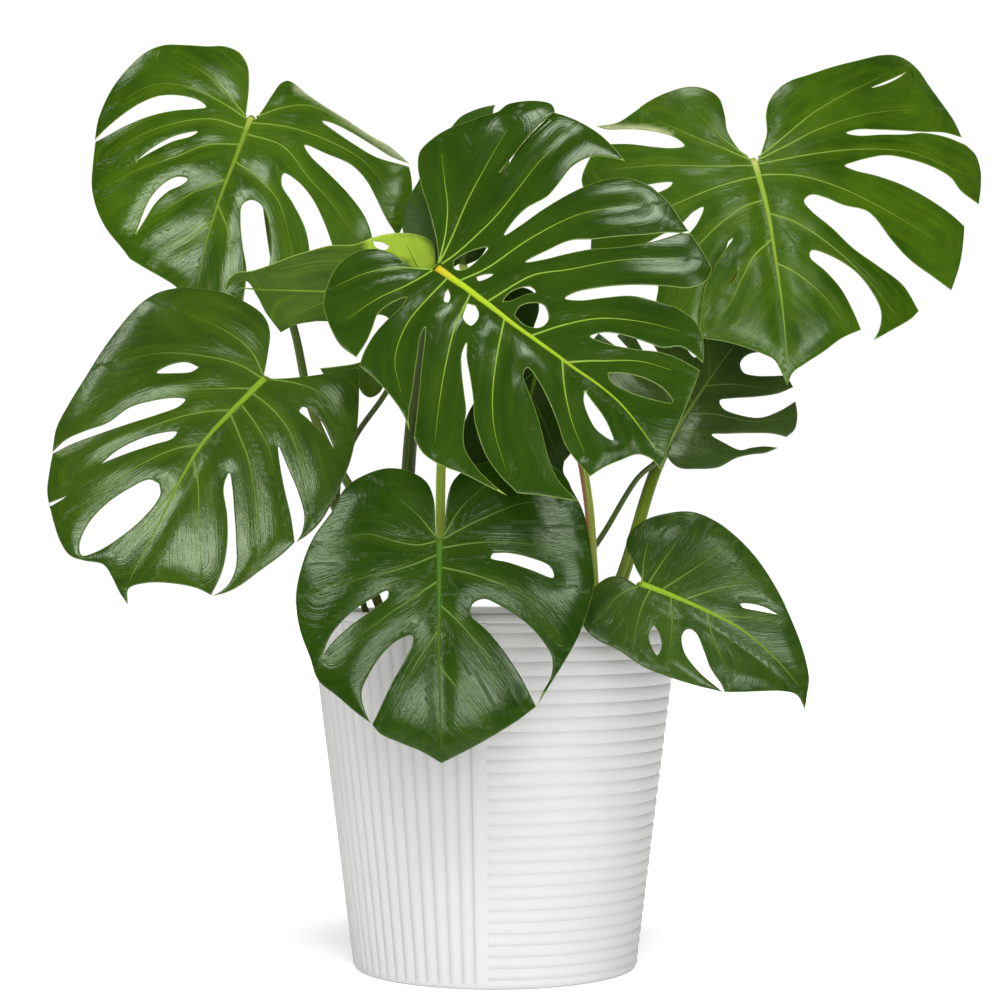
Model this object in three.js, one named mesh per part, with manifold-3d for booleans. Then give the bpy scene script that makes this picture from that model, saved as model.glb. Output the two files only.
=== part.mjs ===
// Potted monstera plant: a ribbed and fluted tapered pot, the soil in it, and ten cut leaves on their own stalks.
// Millimetres, Z up. The origin is the middle of the pot's flat base, X to the right and Y to the rear.
import * as THREE from "three";
import Module from "manifold-3d";

const wasm = await Module();
wasm.setup();

// ---------------------------------------------------------------- driving dimensions
const POT_HEIGHT = 243;
const POT_BASE_RADIUS = 96.7; // where the slope of the wall meets the floor line
const POT_RIM_RADIUS = 127.5;
const POT_WALL = 5;
const POT_FLOOR = 7;
const BASE_CORNER = 5; // rounded foot of the wall
const LIP_HEIGHT = 6.2; // plain band at the rim
const GROOVE_DEPTH = 1.4;

const RIB_COUNT = 27; // level ribs, one above the other, on the right-hand side
const FIRST_GROOVE = 6.6;
const LOWEST_RIB = 7.3;
const TOPMOST_RIB = 9.3;

const FLUTE_PITCH = 5; // degrees, upright flutes on the left-hand side
const FLUTE_COUNT = 33;
const PLAIN_BAND = 5; // degrees, smooth strip where flutes and ribs meet
const RIB_START = -2.5; // degrees from straight ahead, positive to the right
const RIB_COLUMNS = 18;
const ROUND_PARTS = 48;

const SOIL_TOP = 219;
const SOIL_CROWN = 6; // the soil is heaped a little in the middle
const STALK_DEPTH = 24; // how far each stalk stands in the soil
const CLEARANCE = 0.4;

const BLADE_THICKNESS = 0.9;
const RIB_BELOW = 1.1; // how far a side vein stands out under the blade
const MIDRIB_BELOW = 2.0;
const MIDRIB_ABOVE = 0.5;
const MIDRIB_HALF_WIDTH = 2.6;
const VEIN_DIP = 1.3; // the blade is drawn down along each side vein
const SOFTNESS = 12; // how gently the two halves meet at the midrib
const OUTLINE_STEP = 11;
const GRID_STEP = 17;
const VEIN_STEP = 16;
const STALK_SIDES = 8;
const HAIR = 0.03;
const FACED_POINT = [4, -1565, 274]; // the blades turn to a point in front of the plant and hang back from it

const COLOURS = {
  pot: 0xe4e3e0,
  soil: 0x3a2a1e,
  blade: 0x4a7a1c,
  deep: 0x2f5a17,
  pale: 0x7c9a46,
  stalk: 0x6d7f2c,
};

// ---------------------------------------------------------------- the leaves
// Each blade has its own frame: it starts where the stalk meets it, "along" runs down the midrib to the tip,
// "across" is square to that, and both are in millimetres. A third value of 1 marks a sharp corner.
const LEAVES = [
  {
    name: "upper_left",
    colour: "blade",
    start: [-174, 40, 592],
    tip: [-195, 10, 456],
    face: [-0.15, -1, 0.35],
    fold: 0.1,
    dome: 0.001,
    sag: 15,
    midrib: [[0, 0], [30, -4], [60, -9], [95, -13], [128, -14]],
    outline: [
      [1, 4, 1], [-8, 8], [-20, 13], [-28, 17], [-30.5, 22], [-28, 28], [-21, 38], [-12, 54], [-4, 70], [6, 88],
      [14, 105], [25, 120.3, 1], [21.5, 107], [14, 92], [6, 76], [0, 61], [-1, 53], [5, 62], [14.5, 79], [23, 97],
      [27.2, 120.4, 1], [34, 123], [48, 126], [64, 125], [80, 121, 1], [68, 111], [56, 103], [42, 93], [31, 80],
      [24, 60], [19, 44], [27, 50], [38, 64], [53, 82], [68, 96], [84, 104], [97, 106, 1], [108, 98], [116, 84, 1],
      [104, 82], [88, 75], [72, 66], [58, 56], [47, 44], [42, 33], [50, 33], [64, 44], [82, 56], [100, 62],
      [118, 62, 1], [126, 50], [129, 37, 1], [116, 35], [100, 34], [86, 31], [74, 26], [66, 20], [63.5, 13],
      [67, 7], [80, 8], [98, 13], [116, 19], [137, 20, 1], [146, 8], [152, -12, 1], [144, -22], [133, -29],
      [127, -40], [121, -54], [115, -67, 1], [108, -74], [95, -88], [80, -99], [62, -107], [44, -110], [27.6, -111.8, 1],
      [22, -103], [14, -91], [5, -73], [0, -57], [-3, -40], [-5, -34], [-9, -39], [-12, -52], [-11, -70],
      [-3, -86], [8, -98], [19, -107.5], [26.4, -112.6, 1], [10, -113.5], [-6, -111], [-20, -106], [-34, -98], [-46, -88],
      [-52, -76], [-53, -60], [-53, -43], [-54, -30], [-50, -18], [-40, -10], [-24, -6], [-8, -4.5], [1, -4, 1],
    ],
    holes: [
      [[15, -36], [19, -50], [28, -64], [41, -77, 1], [33, -66], [24, -52], [19, -40]],
      [[52, -36], [51, -44], [57, -53], [68, -60], [82, -64], [96, -66, 1], [86, -62], [72, -56], [62, -48], [57, -40]],
    ],
    veins: [
      [[-1, 4], [-9, 22], [-12, 42], [-3, 66], [9, 92]],
      [[4, 0], [6, 30], [14, 60], [27, 88], [50, 112]],
      [[13, -2], [21, 28], [42, 50], [62, 72], [84, 92]],
      [[35, -5], [46, 14], [62, 32], [85, 44], [108, 52]],
      [[70, -10], [88, 0], [110, 6], [128, 10]],
      [[-1, -4], [-16, -20], [-30, -38], [-43, -64]],
      [[1, -3], [-10, -24], [-19, -48], [-20, -75], [-6, -98]],
      [[9, -3], [4, -28], [8, -48], [20, -76], [38, -98]],
      [[22, -4], [25, -28], [36, -48], [48, -74], [62, -96]],
      [[50, -8], [60, -28], [73, -44], [92, -72]],
      [[82, -12], [97, -28], [112, -46]],
    ],
    stalk: { radius: 3.1, foot: [-48, 22], via: [[-66, 34, 270], [-112, 51, 344], [-131, 58, 384], [-144, 65, 440], [-157, 69, 482], [-168, 72, 550]] },
  },
  {
    name: "upper_right",
    colour: "blade",
    start: [184, 40, 561],
    tip: [202, -10, 399],
    face: [0.2, -1, 0.35],
    fold: 0.1,
    dome: 0.001,
    sag: 13,
    midrib: [[0, 0], [40, 3], [82, 3], [130, 2], [166, 0]],
    outline: [
      [0, 4, 1], [-10, 8], [-22, 13], [-38, 15], [-50, 20], [-60, 29], [-66, 38], [-72, 54], [-80, 75], [-88, 100],
      [-93, 116], [-94, 129], [-90, 138], [-82, 145], [-70, 150], [-55, 157], [-40, 164], [-25, 168, 1], [-27.5, 154],
      [-26.4, 135], [-26, 120], [-25.5, 100], [-25, 82], [-22, 73], [-20, 82], [-21.5, 100], [-23, 120], [-25.6, 135],
      [-24, 154], [-19, 170, 1], [-12, 177], [0, 179], [14, 176], [31, 170, 1], [21, 157], [10, 151], [2, 138],
      [-3, 120], [-5, 102], [-2, 87], [2, 74], [5, 67], [9, 74], [13, 90], [20, 110], [30, 128], [42, 144],
      [51, 153, 1], [62, 150], [82, 143], [103, 132, 1], [93, 119], [80, 103], [64, 91], [48, 82], [42, 76], [38, 60],
      [31, 46], [29, 37], [34, 31], [42, 35], [56, 48], [72, 61], [86, 78], [100, 94], [120, 103, 1], [126, 96],
      [134, 81], [142, 65, 1], [133, 71], [120, 74], [104, 69], [90, 60], [78, 44], [73, 30], [78, 28], [90, 38],
      [104, 47], [120, 53], [134, 57, 1], [140, 42], [149, 28], [158, 12], [163, 4], [172, -1, 1], [163, -4],
      [154, -8], [149, -17], [144, -30], [140, -44], [137.5, -59.5, 1], [125, -58], [112, -55], [100, -51], [90, -45.5],
      [80, -38.5], [70, -31.3], [63, -26.5], [65.5, -30], [70, -32.4], [79.6, -39.1], [89.6, -46.1], [99.7, -51.7],
      [111.8, -55.7], [124.8, -58.8], [136, -60.6, 1], [130, -66], [129, -76], [126, -84, 1], [112, -88], [97, -85], [86, -90, 1],
      [77, -82], [68, -70], [60, -59], [50, -50], [38, -44], [42, -52], [51, -62], [59, -77], [66, -90],
      [72, -100, 1], [73, -112], [68, -128, 1], [58, -126], [48, -119], [38, -114, 1], [33, -102], [29, -88],
      [26, -76], [22, -67],
      [18, -63.5], [18, -72], [20, -86], [21, -104], [23, -126, 1], [12, -127], [0, -122], [-10, -115], [-15, -106, 1],
      [-14, -90], [-11, -72], [-10, -58], [-12, -50], [-18, -55], [-23, -68], [-26, -86], [-27, -104], [-30, -111, 1],
      [-32, -96], [-40, -83], [-48, -72], [-56, -56], [-61, -38], [-59, -26], [-52, -18], [-38, -16], [-24, -16],
      [-10, -10], [0, -4, 1],
    ],
    holes: [
      [[-78, 132], [-72, 121], [-62, 101], [-66, 113], [-74, 127]],
      [[86, -26], [92, -30.5], [99, -34.5], [95, -30], [90, -26.5]],
    ],
    veins: [
      [[-3, 4], [-18, 24], [-38, 50], [-58, 84], [-76, 118]],
      [[-1, 4], [-13, 28], [-26, 55], [-38, 92], [-45, 132]],
      [[3, 2], [-4, 40], [-9, 85], [-8, 125], [6, 162]],
      [[12, 2], [13, 30], [22, 56], [42, 92], [64, 126]],
      [[43, 3], [52, 24], [70, 45], [95, 67], [122, 84]],
      [[82, 3], [92, 18], [110, 34], [128, 44]],
      [[-3, -4], [-20, -22], [-38, -36]],
      [[-1, -3], [-12, -26], [-20, -44], [-32, -66]],
      [[4, 0], [5, -35], [4, -70], [6, -108]],
      [[13, 1], [19, -22], [27, -44], [40, -74], [56, -108]],
      [[32, 2], [38, -14], [50, -32], [66, -50], [84, -66], [106, -76]],
      [[63, 3], [76, -12], [92, -23], [110, -34], [126, -46]],
    ],
    stalk: { radius: 4.3, foot: [73, 24], via: [[90, 36, 266], [116.5, 80, 343], [146, 96, 403], [170, 100, 458], [182, 92, 523]] },
  },
  {
    name: "front_middle",
    colour: "blade",
    start: [-37, -110, 465],
    tip: [103, -165, 337],
    face: [0.06, -1, 0.4],
    fold: 0.3,
    dome: 0.0012,
    sag: 11,
    midrib: [[0, 0], [30, 2], [60, 3], [105, 6], [150, 10], [190, 4]],
    outline: [
      [-2, 3, 1], [-12, 12], [-26, 21], [-38, 28], [-52, 36], [-64, 45], [-70, 53], [-70, 68], [-67, 79], [-63, 87],
      [-58, 98], [-52.5, 108], [-52, 116], [-46, 125], [-38, 132.5], [-31, 136], [-25, 134, 1], [-25.2, 118],
      [-22.8, 100], [-19.3, 82], [-18.5, 75], [-18, 82], [-22, 100], [-24.4, 118], [-24, 133, 1], [-10, 138.5], [4, 141], [18, 140], [36, 136, 1], [26, 131],
      [18, 124], [14, 110], [17, 92], [18, 82], [14, 68], [14, 56], [17, 44], [20, 56], [23, 74], [30, 100],
      [38, 117], [47, 127], [62, 133, 1], [78, 132], [92, 128], [104, 124, 1], [94, 115], [84, 103], [73, 91], [63, 79],
      [52, 68], [46, 54], [41, 39], [48, 47], [57, 60], [66, 72], [80, 87], [92, 104], [102, 125, 1], [116, 121],
      [132, 115, 1], [135, 106], [131, 95], [123, 88], [112, 79], [100, 68], [88, 55], [80, 44], [78, 37], [86, 42],
      [97, 54], [109, 66], [122, 73], [134, 79, 1], [148, 81], [157, 78], [165, 72], [172, 64, 1], [164, 64],
      [154, 62], [147, 54], [138, 50], [124, 44], [113, 37], [108, 29], [120, 33], [135, 42], [148, 51], [160, 56],
      [174, 59, 1], [180, 46], [187, 28], [192, 14], [200, -3, 1], [192, -2], [184, -6], [180, -18], [177, -30],
      [176, -42, 1], [162, -40], [150, -37], [134, -28], [118, -20.5], [106, -16], [95, -14], [97, -20], [107, -26],
      [122, -34], [138, -44], [152, -53], [166, -59], [183, -60, 1], [176, -66], [167, -73], [155, -84, 1], [140, -83],
      [125, -80], [112, -74], [101, -67], [90, -57], [76, -46], [64, -37], [56, -29], [60, -37], [70, -47], [82, -57],
      [94, -67], [102, -77], [112, -86], [125, -90], [138, -91], [152, -90, 1], [140, -94], [124, -99], [110, -105],
      [98, -107], [86, -104, 1], [76, -92], [62, -76], [48, -60], [36, -46], [30, -40], [33, -47], [46, -63],
      [60, -80], [72, -95], [80, -102, 1], [70, -97], [56, -93], [40, -91], [24, -91, 1], [19, -83], [13, -68],
      [10, -54], [8, -40], [4, -31], [1, -42], [2, -54], [9, -66], [14, -76], [18, -88, 1], [4, -88.5], [-12, -83],
      [-26, -75], [-37, -61], [-43, -47], [-44, -32], [-39, -20], [-28, -13], [-14, -11], [-6, -7], [-2, -3, 1],
    ],
    holes: [
      [[17, -7], [18, -11], [23, -16], [25, -15], [22, -10]],
      [[38, -3.5], [33, -6.5], [34, -11], [41, -16.5], [48, -17], [47, -10], [43, -5.5]],
      [[4, 11], [9, 7], [14, 10], [16, 20], [15, 31], [9, 25], [5, 17]],
      [[24, 12], [27, 10.5], [30, 15], [31, 20], [27, 17]],
      [[49, 10.5], [48, 17], [51, 25], [56, 29], [61, 28], [57, 23], [55, 18], [52, 12.5]],
      [[62, 8], [60, 14], [64, 21], [71, 25], [80, 20], [80, 13], [73, 8]],
      [[131, 1], [138, -0.5], [150, -3], [160, -7], [167, -11.5], [156, -14], [144, -10], [134, -3.5]],
      [[133, 19.5], [138, 16.5], [150, 19], [164, 25], [176, 32.5], [166, 35], [152, 32], [140, 25.5]],
    ],
    veins: [
      [[-2, 3], [-14, 21], [-26, 35], [-42, 48], [-57, 60]],
      [[-2, 4], [-10, 24], [-20, 48], [-31, 80], [-38, 102]],
      [[0, 4], [2, 25], [2.5, 48], [-1, 74], [-5, 98], [-7, 124]],
      [[18, 3], [25, 22], [32, 56], [44, 88], [66, 116]],
      [[42, 3], [50, 34], [66, 54], [86, 80], [112, 106]],
      [[80, 5], [90, 24], [104, 42], [126, 58], [148, 70]],
      [[110, 7], [124, 22], [142, 38], [162, 48]],
      [[-2, -3], [-16, -16], [-26, -34], [-32, -58]],
      [[-1, -3], [-3, -22], [-7, -44], [-8, -72]],
      [[10, 1], [14, -24], [21, -48], [36, -72], [56, -86]],
      [[29, 2], [40, -22], [56, -46], [76, -72], [96, -96]],
      [[58, 3], [76, -22], [96, -46], [116, -64], [140, -78]],
      [[106, 6], [122, -8], [142, -22], [162, -32]],
      [[94, 5], [112, -22], [136, -38], [160, -52]],
    ],
    stalk: { radius: 4.7, foot: [-62, -26], via: [[-61, -32, 280], [-57, -48, 350], [-50, -68, 405], [-42, -82, 440]] },
  },
  {
    name: "left",
    colour: "deep",
    start: [-153, -60, 398],
    tip: [-242, -90, 257],
    face: [-0.25, -1, 0.35],
    fold: 0.1,
    dome: 0.001,
    sag: 8,
    midrib: [[0, 0], [30, -5], [60, -9], [90, -7], [125, -3], [162, 0]],
    outline: [
      [-1, 3, 1], [-9, 17], [-20, 34], [-36, 54, 1], [-26, 61], [-12, 70], [6, 80], [25, 88], [45, 92], [66, 94],
      [78, 91.5], [86.4, 87.8, 1], [80, 87.5], [70, 83], [58, 70], [47, 54], [37, 38.5], [46, 46], [60, 60], [74, 75],
      [87, 86.7, 1], [98, 84], [114, 77.5], [130, 70.5], [138, 64.5], [143, 58.6, 1], [138, 62], [131, 64], [120, 62], [104, 51], [88, 38], [75, 27],
      [68, 19.5], [78, 22], [94, 36.5], [112, 49], [128, 55.5], [143.3, 57.4, 1], [144, 46], [149, 29], [157, 12],
      [166, 2], [175, 8, 1], [171, -2], [165, -12], [161, -22], [165, -35], [167, -46], [163, -57], [154, -70],
      [144, -82, 1], [138, -76.5], [134, -73, 1], [139, -75.5], [146, -80, 1], [138, -88], [126, -95], [114, -100.9, 1],
      [102, -92], [88, -79], [72, -64], [56, -49], [45, -40], [39, -39], [41, -46], [50, -59], [62, -71], [78, -78],
      [90, -89], [102, -98.5], [113.2, -101.9, 1], [98, -110], [80, -113], [58, -115], [36, -117], [14, -117], [-4, -115],
      [-17, -109], [-27, -98], [-34, -83], [-39, -66], [-40.5, -48], [-38, -28], [-30, -17], [-16, -9], [-1, -2, 1],
    ],
    holes: [
      [[15, -45], [16, -55], [23, -64], [32, -69], [27, -58], [20, -47]],
      [[61, -30], [67, -40], [78, -51], [92, -60], [104, -64, 1], [90, -52], [76, -39], [66, -30]],
      [[97, -19], [98, -27], [110, -36], [126, -44], [144, -47.5], [158, -44.5], [163, -39], [156, -31], [140, -22], [120, -15], [103, -14]],
      [[6, 36], [5, 42], [9, 55], [20, 72, 1], [15, 60], [11, 44], [9, 36]],
    ],
    veins: [
      [[-1, -2], [-12, -20], [-16, -45], [-14, -72]],
      [[1, -1], [0, -20], [5, -42], [18, -74], [38, -100]],
      [[10, -2], [21, -22], [36, -46], [56, -64], [88, -84], [104, -98]],
      [[30, -5], [42, -24], [60, -43], [82, -58], [116, -74]],
      [[60, -9], [72, -24], [90, -37], [112, -48], [136, -60]],
      [[90, -7], [104, -9], [124, -11], [148, -16]],
      [[-1, 3], [-7, 24], [-8, 44], [2, 66]],
      [[13, -2], [17, 20], [25, 40], [42, 62], [60, 82]],
      [[24, -2], [30, 13], [40, 32], [51, 45]],
      [[33, -5], [43, 10], [55, 27], [74, 46], [100, 66]],
      [[72, -8], [86, 6], [104, 20], [128, 38]],
    ],
    stalk: { radius: 3, foot: [-74, -6], via: [[-92, -10, 276], [-118, -18, 330], [-140, -28, 370]] },
  },
  {
    name: "hanging_front",
    colour: "deep",
    start: [-34, -160, 290],
    tip: [-32, -190, 153],
    face: [0, -1, 0.35],
    fold: 0.1,
    dome: 0.001,
    sag: 12,
    midrib: [[0, 0], [35, -0.5], [70, -1], [105, -0.5], [132, 0]],
    outline: [
      [0, 2.5, 1], [-12, 3.5], [-26, 5], [-36, 8], [-43, 14], [-48, 24], [-51, 38], [-52, 54], [-48, 68], [-38, 79],
      [-30, 83], [-20, 88], [-6, 92], [12, 94], [30, 95], [46, 91], [62, 85], [78, 76], [92, 67], [105.2, 58.7, 1],
      [97, 62], [88, 67], [76, 68], [65, 62], [54, 52], [43, 36], [39, 27], [42, 20], [49, 19], [58, 28], [72, 39],
      [88, 49], [106, 57.7, 1], [114, 47], [123, 32], [131, 17], [139, 0, 1], [132, -12], [127, -24], [121, -37],
      [115.5, -41.6, 1], [106, -37], [90, -29.5], [76, -21.5], [66, -17], [61, -17], [64, -26], [72, -35], [84, -43],
      [96, -48], [107, -46], [114.7, -42.5, 1], [108, -51.5], [98, -63], [88, -74.5], [74, -79.5], [56, -86], [36, -88.5],
      [16, -85], [-2, -78], [-18, -67], [-34, -58], [-42, -46], [-46, -32], [-44, -19], [-37, -8], [-26, -3.5],
      [-10, -2.5], [0, -2.5, 1],
    ],
    holes: [
      [[10, 33], [13, 31.5], [16, 42], [21, 56], [26, 70], [19, 68], [13, 55], [10, 42]],
      [[33, -32], [37, -32], [44, -40], [54, -54], [65, -66], [73, -72, 1], [60, -66.5], [47, -55], [38, -42]],
    ],
    veins: [
      [[-1, 2], [-20, 14], [-38, 34]],
      [[0, 2], [-12, 26], [-22, 54], [-20, 76]],
      [[6, 0], [3, 25], [4, 50], [10, 80]],
      [[18, 0], [24, 22], [33, 44], [46, 62], [64, 74]],
      [[42, 0], [56, 14], [74, 28], [94, 42]],
      [[80, -1], [94, 10], [112, 24]],
      [[-1, -2], [-16, -14], [-30, -30]],
      [[1, -1], [4, -13], [2, -26], [-3, -45], [2, -70]],
      [[10, -1], [18, -20], [24, -44], [33, -74]],
      [[27, -1], [40, -20], [54, -40], [74, -66]],
      [[58, -1], [74, -12], [92, -22], [110, -32]],
    ],
    stalk: { radius: 2.8, foot: [-20, -56], via: [[-22, -66, 258], [-27, -94, 284], [-32, -122, 290]] },
  },
  {
    name: "low_right",
    colour: "deep",
    start: [93, -120, 262],
    tip: [198, -125, 192],
    face: [0.15, -1, 0.4],
    fold: 0.1,
    dome: 0.001,
    sag: 10,
    midrib: [[0, 0], [20, 4], [45, 8], [70, 10.5], [98, 7], [118, 2]],
    outline: [
      [1, 2.5, 1], [-6, 6], [-13, 11], [-20, 15], [-23.5, 24], [-21, 37], [-12, 50], [2, 62], [18, 65], [36, 63],
      [56, 57], [76, 47], [94, 35], [110, 22.5], [122, 10], [126, 2], [130, -9, 1], [121, -4], [112, -8], [98, -19],
      [86, -28.5], [81, -31.9, 1], [76, -28.5], [66, -24], [55, -15], [46, -8.5], [41, -9], [39.5, -15], [46, -24],
      [60, -30], [79.9, -32.7, 1], [64, -39], [48, -44], [30, -48], [12, -47.5], [-6, -49], [-17, -45], [-20, -32],
      [-23, -20], [-19, -8], [-12, -3], [0, -2.5, 1],
    ],
    holes: [
      [[21, -20], [22, -28], [28, -34], [33, -36.5], [33, -31], [27, -23]],
      [[60, 25], [62, 24], [72, 28], [84, 33.5, 1], [74, 32.5], [65, 29]],
    ],
    veins: [
      [[0, 2], [-7, 16], [-13, 34]],
      [[4, 1], [4, 22], [5, 46]],
      [[13, 3], [21, 22], [32, 50]],
      [[28, 5], [42, 24], [60, 44]],
      [[50, 9], [66, 18], [84, 30]],
      [[0, -2], [-7, -14], [-10, -34]],
      [[7, 1], [9, -16], [18, -42]],
      [[20, 4], [31, -14], [40, -34]],
      [[44, 8], [56, -4], [74, -18]],
    ],
    stalk: { radius: 2.5, foot: [46, -46], via: [[50, -56, 244], [62, -74, 256], [77, -92, 257]] },
  },
  {
    name: "right_rear",
    colour: "deep",
    start: [123, 40, 361],
    tip: [184, 80, 450],
    face: [0.3, -1, 0.1],
    fold: 0.1,
    dome: 0.001,
    sag: 10,
    midrib: [[0, 0], [30, 1], [60, 1], [90, 0], [114, -2]],
    outline: [
      [0, 2.5, 1], [-8, 5], [-13, 12], [-14, 24], [-9, 42], [0, 60], [10, 76], [22, 86], [31, 86, 1], [31, 76],
      [31, 62], [28, 46], [27, 38], [32, 38], [35, 50], [36, 62], [38, 74, 1], [44, 73], [50, 69, 1], [44, 58],
      [40, 48], [35, 32], [38, 25], [45, 36], [50, 48], [55, 62, 1], [66, 62], [77, 57, 1], [72, 44], [66, 30], [64, 19], [70, 17],
      [80, 30], [92, 42, 1], [104, 30], [114, 15], [122, -4, 1], [117, -22], [109, -38], [103, -44, 1], [105, -38],
      [106, -30], [102, -20], [93, -12.5], [84, -11.5], [80, -17], [84, -26], [92, -36], [99, -45], [96, -54, 1],
      [84, -47], [70, -34], [58, -21], [50, -14], [47, -19], [52, -34], [60, -46], [74, -55], [88, -61, 1], [80, -68],
      [70, -72], [61, -70, 1], [56, -60], [46, -47], [34, -33], [25, -23], [26, -34], [29, -46], [36, -52],
      [44, -60], [50, -69, 1], [40, -63], [32, -55], [22, -47], [8, -40], [-3, -28], [-11, -16], [-9, -5], [0, -2.5, 1],
    ],
    holes: [],
    veins: [
      [[2, -1], [8, -16], [16, -36]],
      [[10, 0], [20, -16], [36, -38], [52, -60]],
      [[26, 1], [40, -18], [54, -44], [74, -62]],
      [[52, 1], [66, -14], [80, -36]],
      [[2, 1], [4, 24], [10, 50], [22, 78]],
      [[14, 1], [28, 24], [40, 62]],
      [[34, 1], [50, 26], [64, 52]],
      [[58, 1], [74, 12], [92, 28]],
    ],
    stalk: { radius: 2.1, foot: [28, 48], via: [[46, 48, 256], [73, 50, 290], [102, 56, 336]] },
  },
  {
    name: "turned_left",
    colour: "pale",
    start: [-45, -45, 457],
    tip: [-178, -60, 457],
    face: [0, 0.85, 0.52],
    fold: 0.15,
    dome: 0.001,
    sag: 4,
    midrib: [[0, 0], [35, -1], [75, -1], [110, 0], [128, 2]],
    outline: [
      [0, 2.5, 1], [-3, 12], [-4, 24], [-1, 36], [7, 40], [18, 41], [30, 39.5], [38, 37], [50, 32], [66, 31], [80, 27],
      [92, 23], [106, 17], [118, 13], [128, 12], [134, 6], [136, -2, 1], [131, 4], [121, 6], [114, -5], [108, -18],
      [98, -33, 1], [88, -27], [74, -24, 1], [64, -24], [54, -23], [42, -20], [30, -18.5], [25, -22], [24, -32],
      [30, -43], [38, -52], [46, -56.5], [58, -59], [71, -61, 1], [67, -68, 1], [56, -65], [46, -61], [45, -72],
      [41, -80], [36, -82.5], [30, -79], [25, -68], [18, -50], [8, -34], [-3, -20], [-4, -8], [0, -2.5, 1],
    ],
    holes: [[[38, 34.5], [32, 34], [27, 31], [30, 28.5], [36, 30.5]]],
    veins: [
      [[0, 2], [8, 18], [16, 34]],
      [[6, 0], [36, 17], [70, 20], [100, 14]],
      [[40, -1], [66, -8], [90, -20]],
      [[8, 0], [20, -34], [36, -72]],
    ],
    stalk: { radius: 2, foot: [-86, 14], via: [[-99, 5, 272], [-108, -10, 325], [-97, -18, 358], [-72, -40, 392], [-54, -62, 430]] },
  },
  {
    name: "top_rear",
    colour: "deep",
    start: [-22, -45, 476],
    tip: [2, -20, 590],
    face: [-0.2, -1, 0],
    fold: 0.12,
    dome: 0.0012,
    sag: 6,
    midrib: [[0, 0], [40, 1], [80, 1], [112, 0]],
    outline: [
      [0, 2.5, 1], [-6, 10], [-3, 24], [6, 38], [20, 46], [36, 47], [50, 43], [64, 39], [80, 34], [98, 27],
      [105, 23], [110, 17], [114, 10.5], [118, 2, 1], [111, 2], [98, -9], [82, -16], [62, -18], [42, -18], [22, -16], [6, -11],
      [0, -2.5, 1],
    ],
    holes: [],
    veins: [
      [[2, 1], [10, 20], [20, 40]],
      [[14, 1], [34, 20], [52, 38]],
      [[38, 1], [60, 16], [80, 28]],
      [[10, 0], [30, -8], [50, -15]],
      [[44, 1], [66, -6], [88, -12]],
    ],
    stalk: { radius: 3.3, foot: [-36, -2], via: [[-37, -4, 270], [-37, -8, 340], [-32, -12, 400], [-26, -16, 440]] },
  },
  {
    name: "inner_middle",
    colour: "deep",
    start: [29, -60, 409],
    tip: [4, -80, 308],
    face: [-0.1, -1, 0.35],
    fold: 0.12,
    dome: 0.0012,
    sag: 4,
    midrib: [[0, 0], [35, 1], [70, 1], [98, 0]],
    outline: [
      [0, 2.5, 1], [-7, 8], [-3, 19], [10, 30], [24, 37], [42, 40], [56, 37], [64, 33, 1], [71, 34], [78, 40],
      [85, 44, 1], [94, 38], [101, 25], [108, 4, 1], [103, -8], [97, -18], [86, -29], [70, -36], [54, -38],
      [40, -36], [27, -31], [14, -32], [0, -36], [-15, -39], [-30, -38], [-43, -33], [-49, -23], [-46, -13],
      [-36, -8.5], [-20, -9], [-8, -7], [0, -2.5, 1],
    ],
    holes: [],
    veins: [
      [[3, 0], [14, 16], [28, 32]],
      [[24, 1], [44, 16], [62, 28]],
      [[52, 1], [70, 12], [88, 30]],
      [[6, 0], [22, -12], [38, -28]],
      [[34, 1], [54, -14], [74, -28]],
      [[-2, -4], [-14, -18], [-34, -26]],
    ],
    stalk: { radius: 3.2, foot: [70, -24], via: [[67, -26, 262], [63, -28, 318], [54, -30, 362], [40, -32, 392]] },
  },
];

// ---------------------------------------------------------------- small helpers
const group = new THREE.Group();
const vec = (p) => new THREE.Vector3(p[0], p[1], p[2]);
const flat = (p) => new THREE.Vector3(p[0], p[1], 0);

function solidFrom(geometry) {
  const plain = geometry.index ? geometry.toNonIndexed() : geometry;
  const position = plain.getAttribute("position").array;
  const mesh = new wasm.Mesh({
    numProp: 3,
    vertProperties: new Float32Array(position),
    triVerts: Uint32Array.from({ length: position.length / 3 }, (_, i) => i),
  });
  mesh.merge();
  return new wasm.Manifold(mesh);
}

function geometryFrom(solid) {
  const mesh = solid.getMesh();
  const geometry = new THREE.BufferGeometry();
  geometry.setAttribute("position", new THREE.BufferAttribute(mesh.vertProperties, 3));
  geometry.setIndex(new THREE.BufferAttribute(mesh.triVerts, 1));
  return geometry;
}

function indexed(points, triangles) {
  const geometry = new THREE.BufferGeometry();
  geometry.setAttribute("position", new THREE.Float32BufferAttribute(points.flat(), 3));
  geometry.setIndex(triangles.flat());
  return geometry;
}

function place(name, geometry, colour, roughness) {
  geometry.computeVertexNormals();
  const material = new THREE.MeshStandardMaterial({ color: colour, roughness, metalness: 0 });
  const mesh = new THREE.Mesh(geometry, material);
  mesh.name = name;
  group.add(mesh);
}

// Rings of equal length, lowest first, each counter-clockwise from above, joined into one closed solid.
function loft(rings, centres) {
  const count = rings[0].length;
  const points = rings.flat();
  const triangles = [];
  for (let k = 0; k + 1 < rings.length; k += 1) {
    for (let i = 0; i < count; i += 1) {
      const a = k * count + i;
      const b = k * count + ((i + 1) % count);
      triangles.push([a, b, b + count], [a, b + count, a + count]);
    }
  }
  const low = points.push(centres[0]) - 1;
  const high = points.push(centres[1]) - 1;
  const last = (rings.length - 1) * count;
  for (let i = 0; i < count; i += 1) {
    const next = (i + 1) % count;
    triangles.push([low, next, i], [high, last + i, last + next]);
  }
  return indexed(points, triangles);
}

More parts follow.
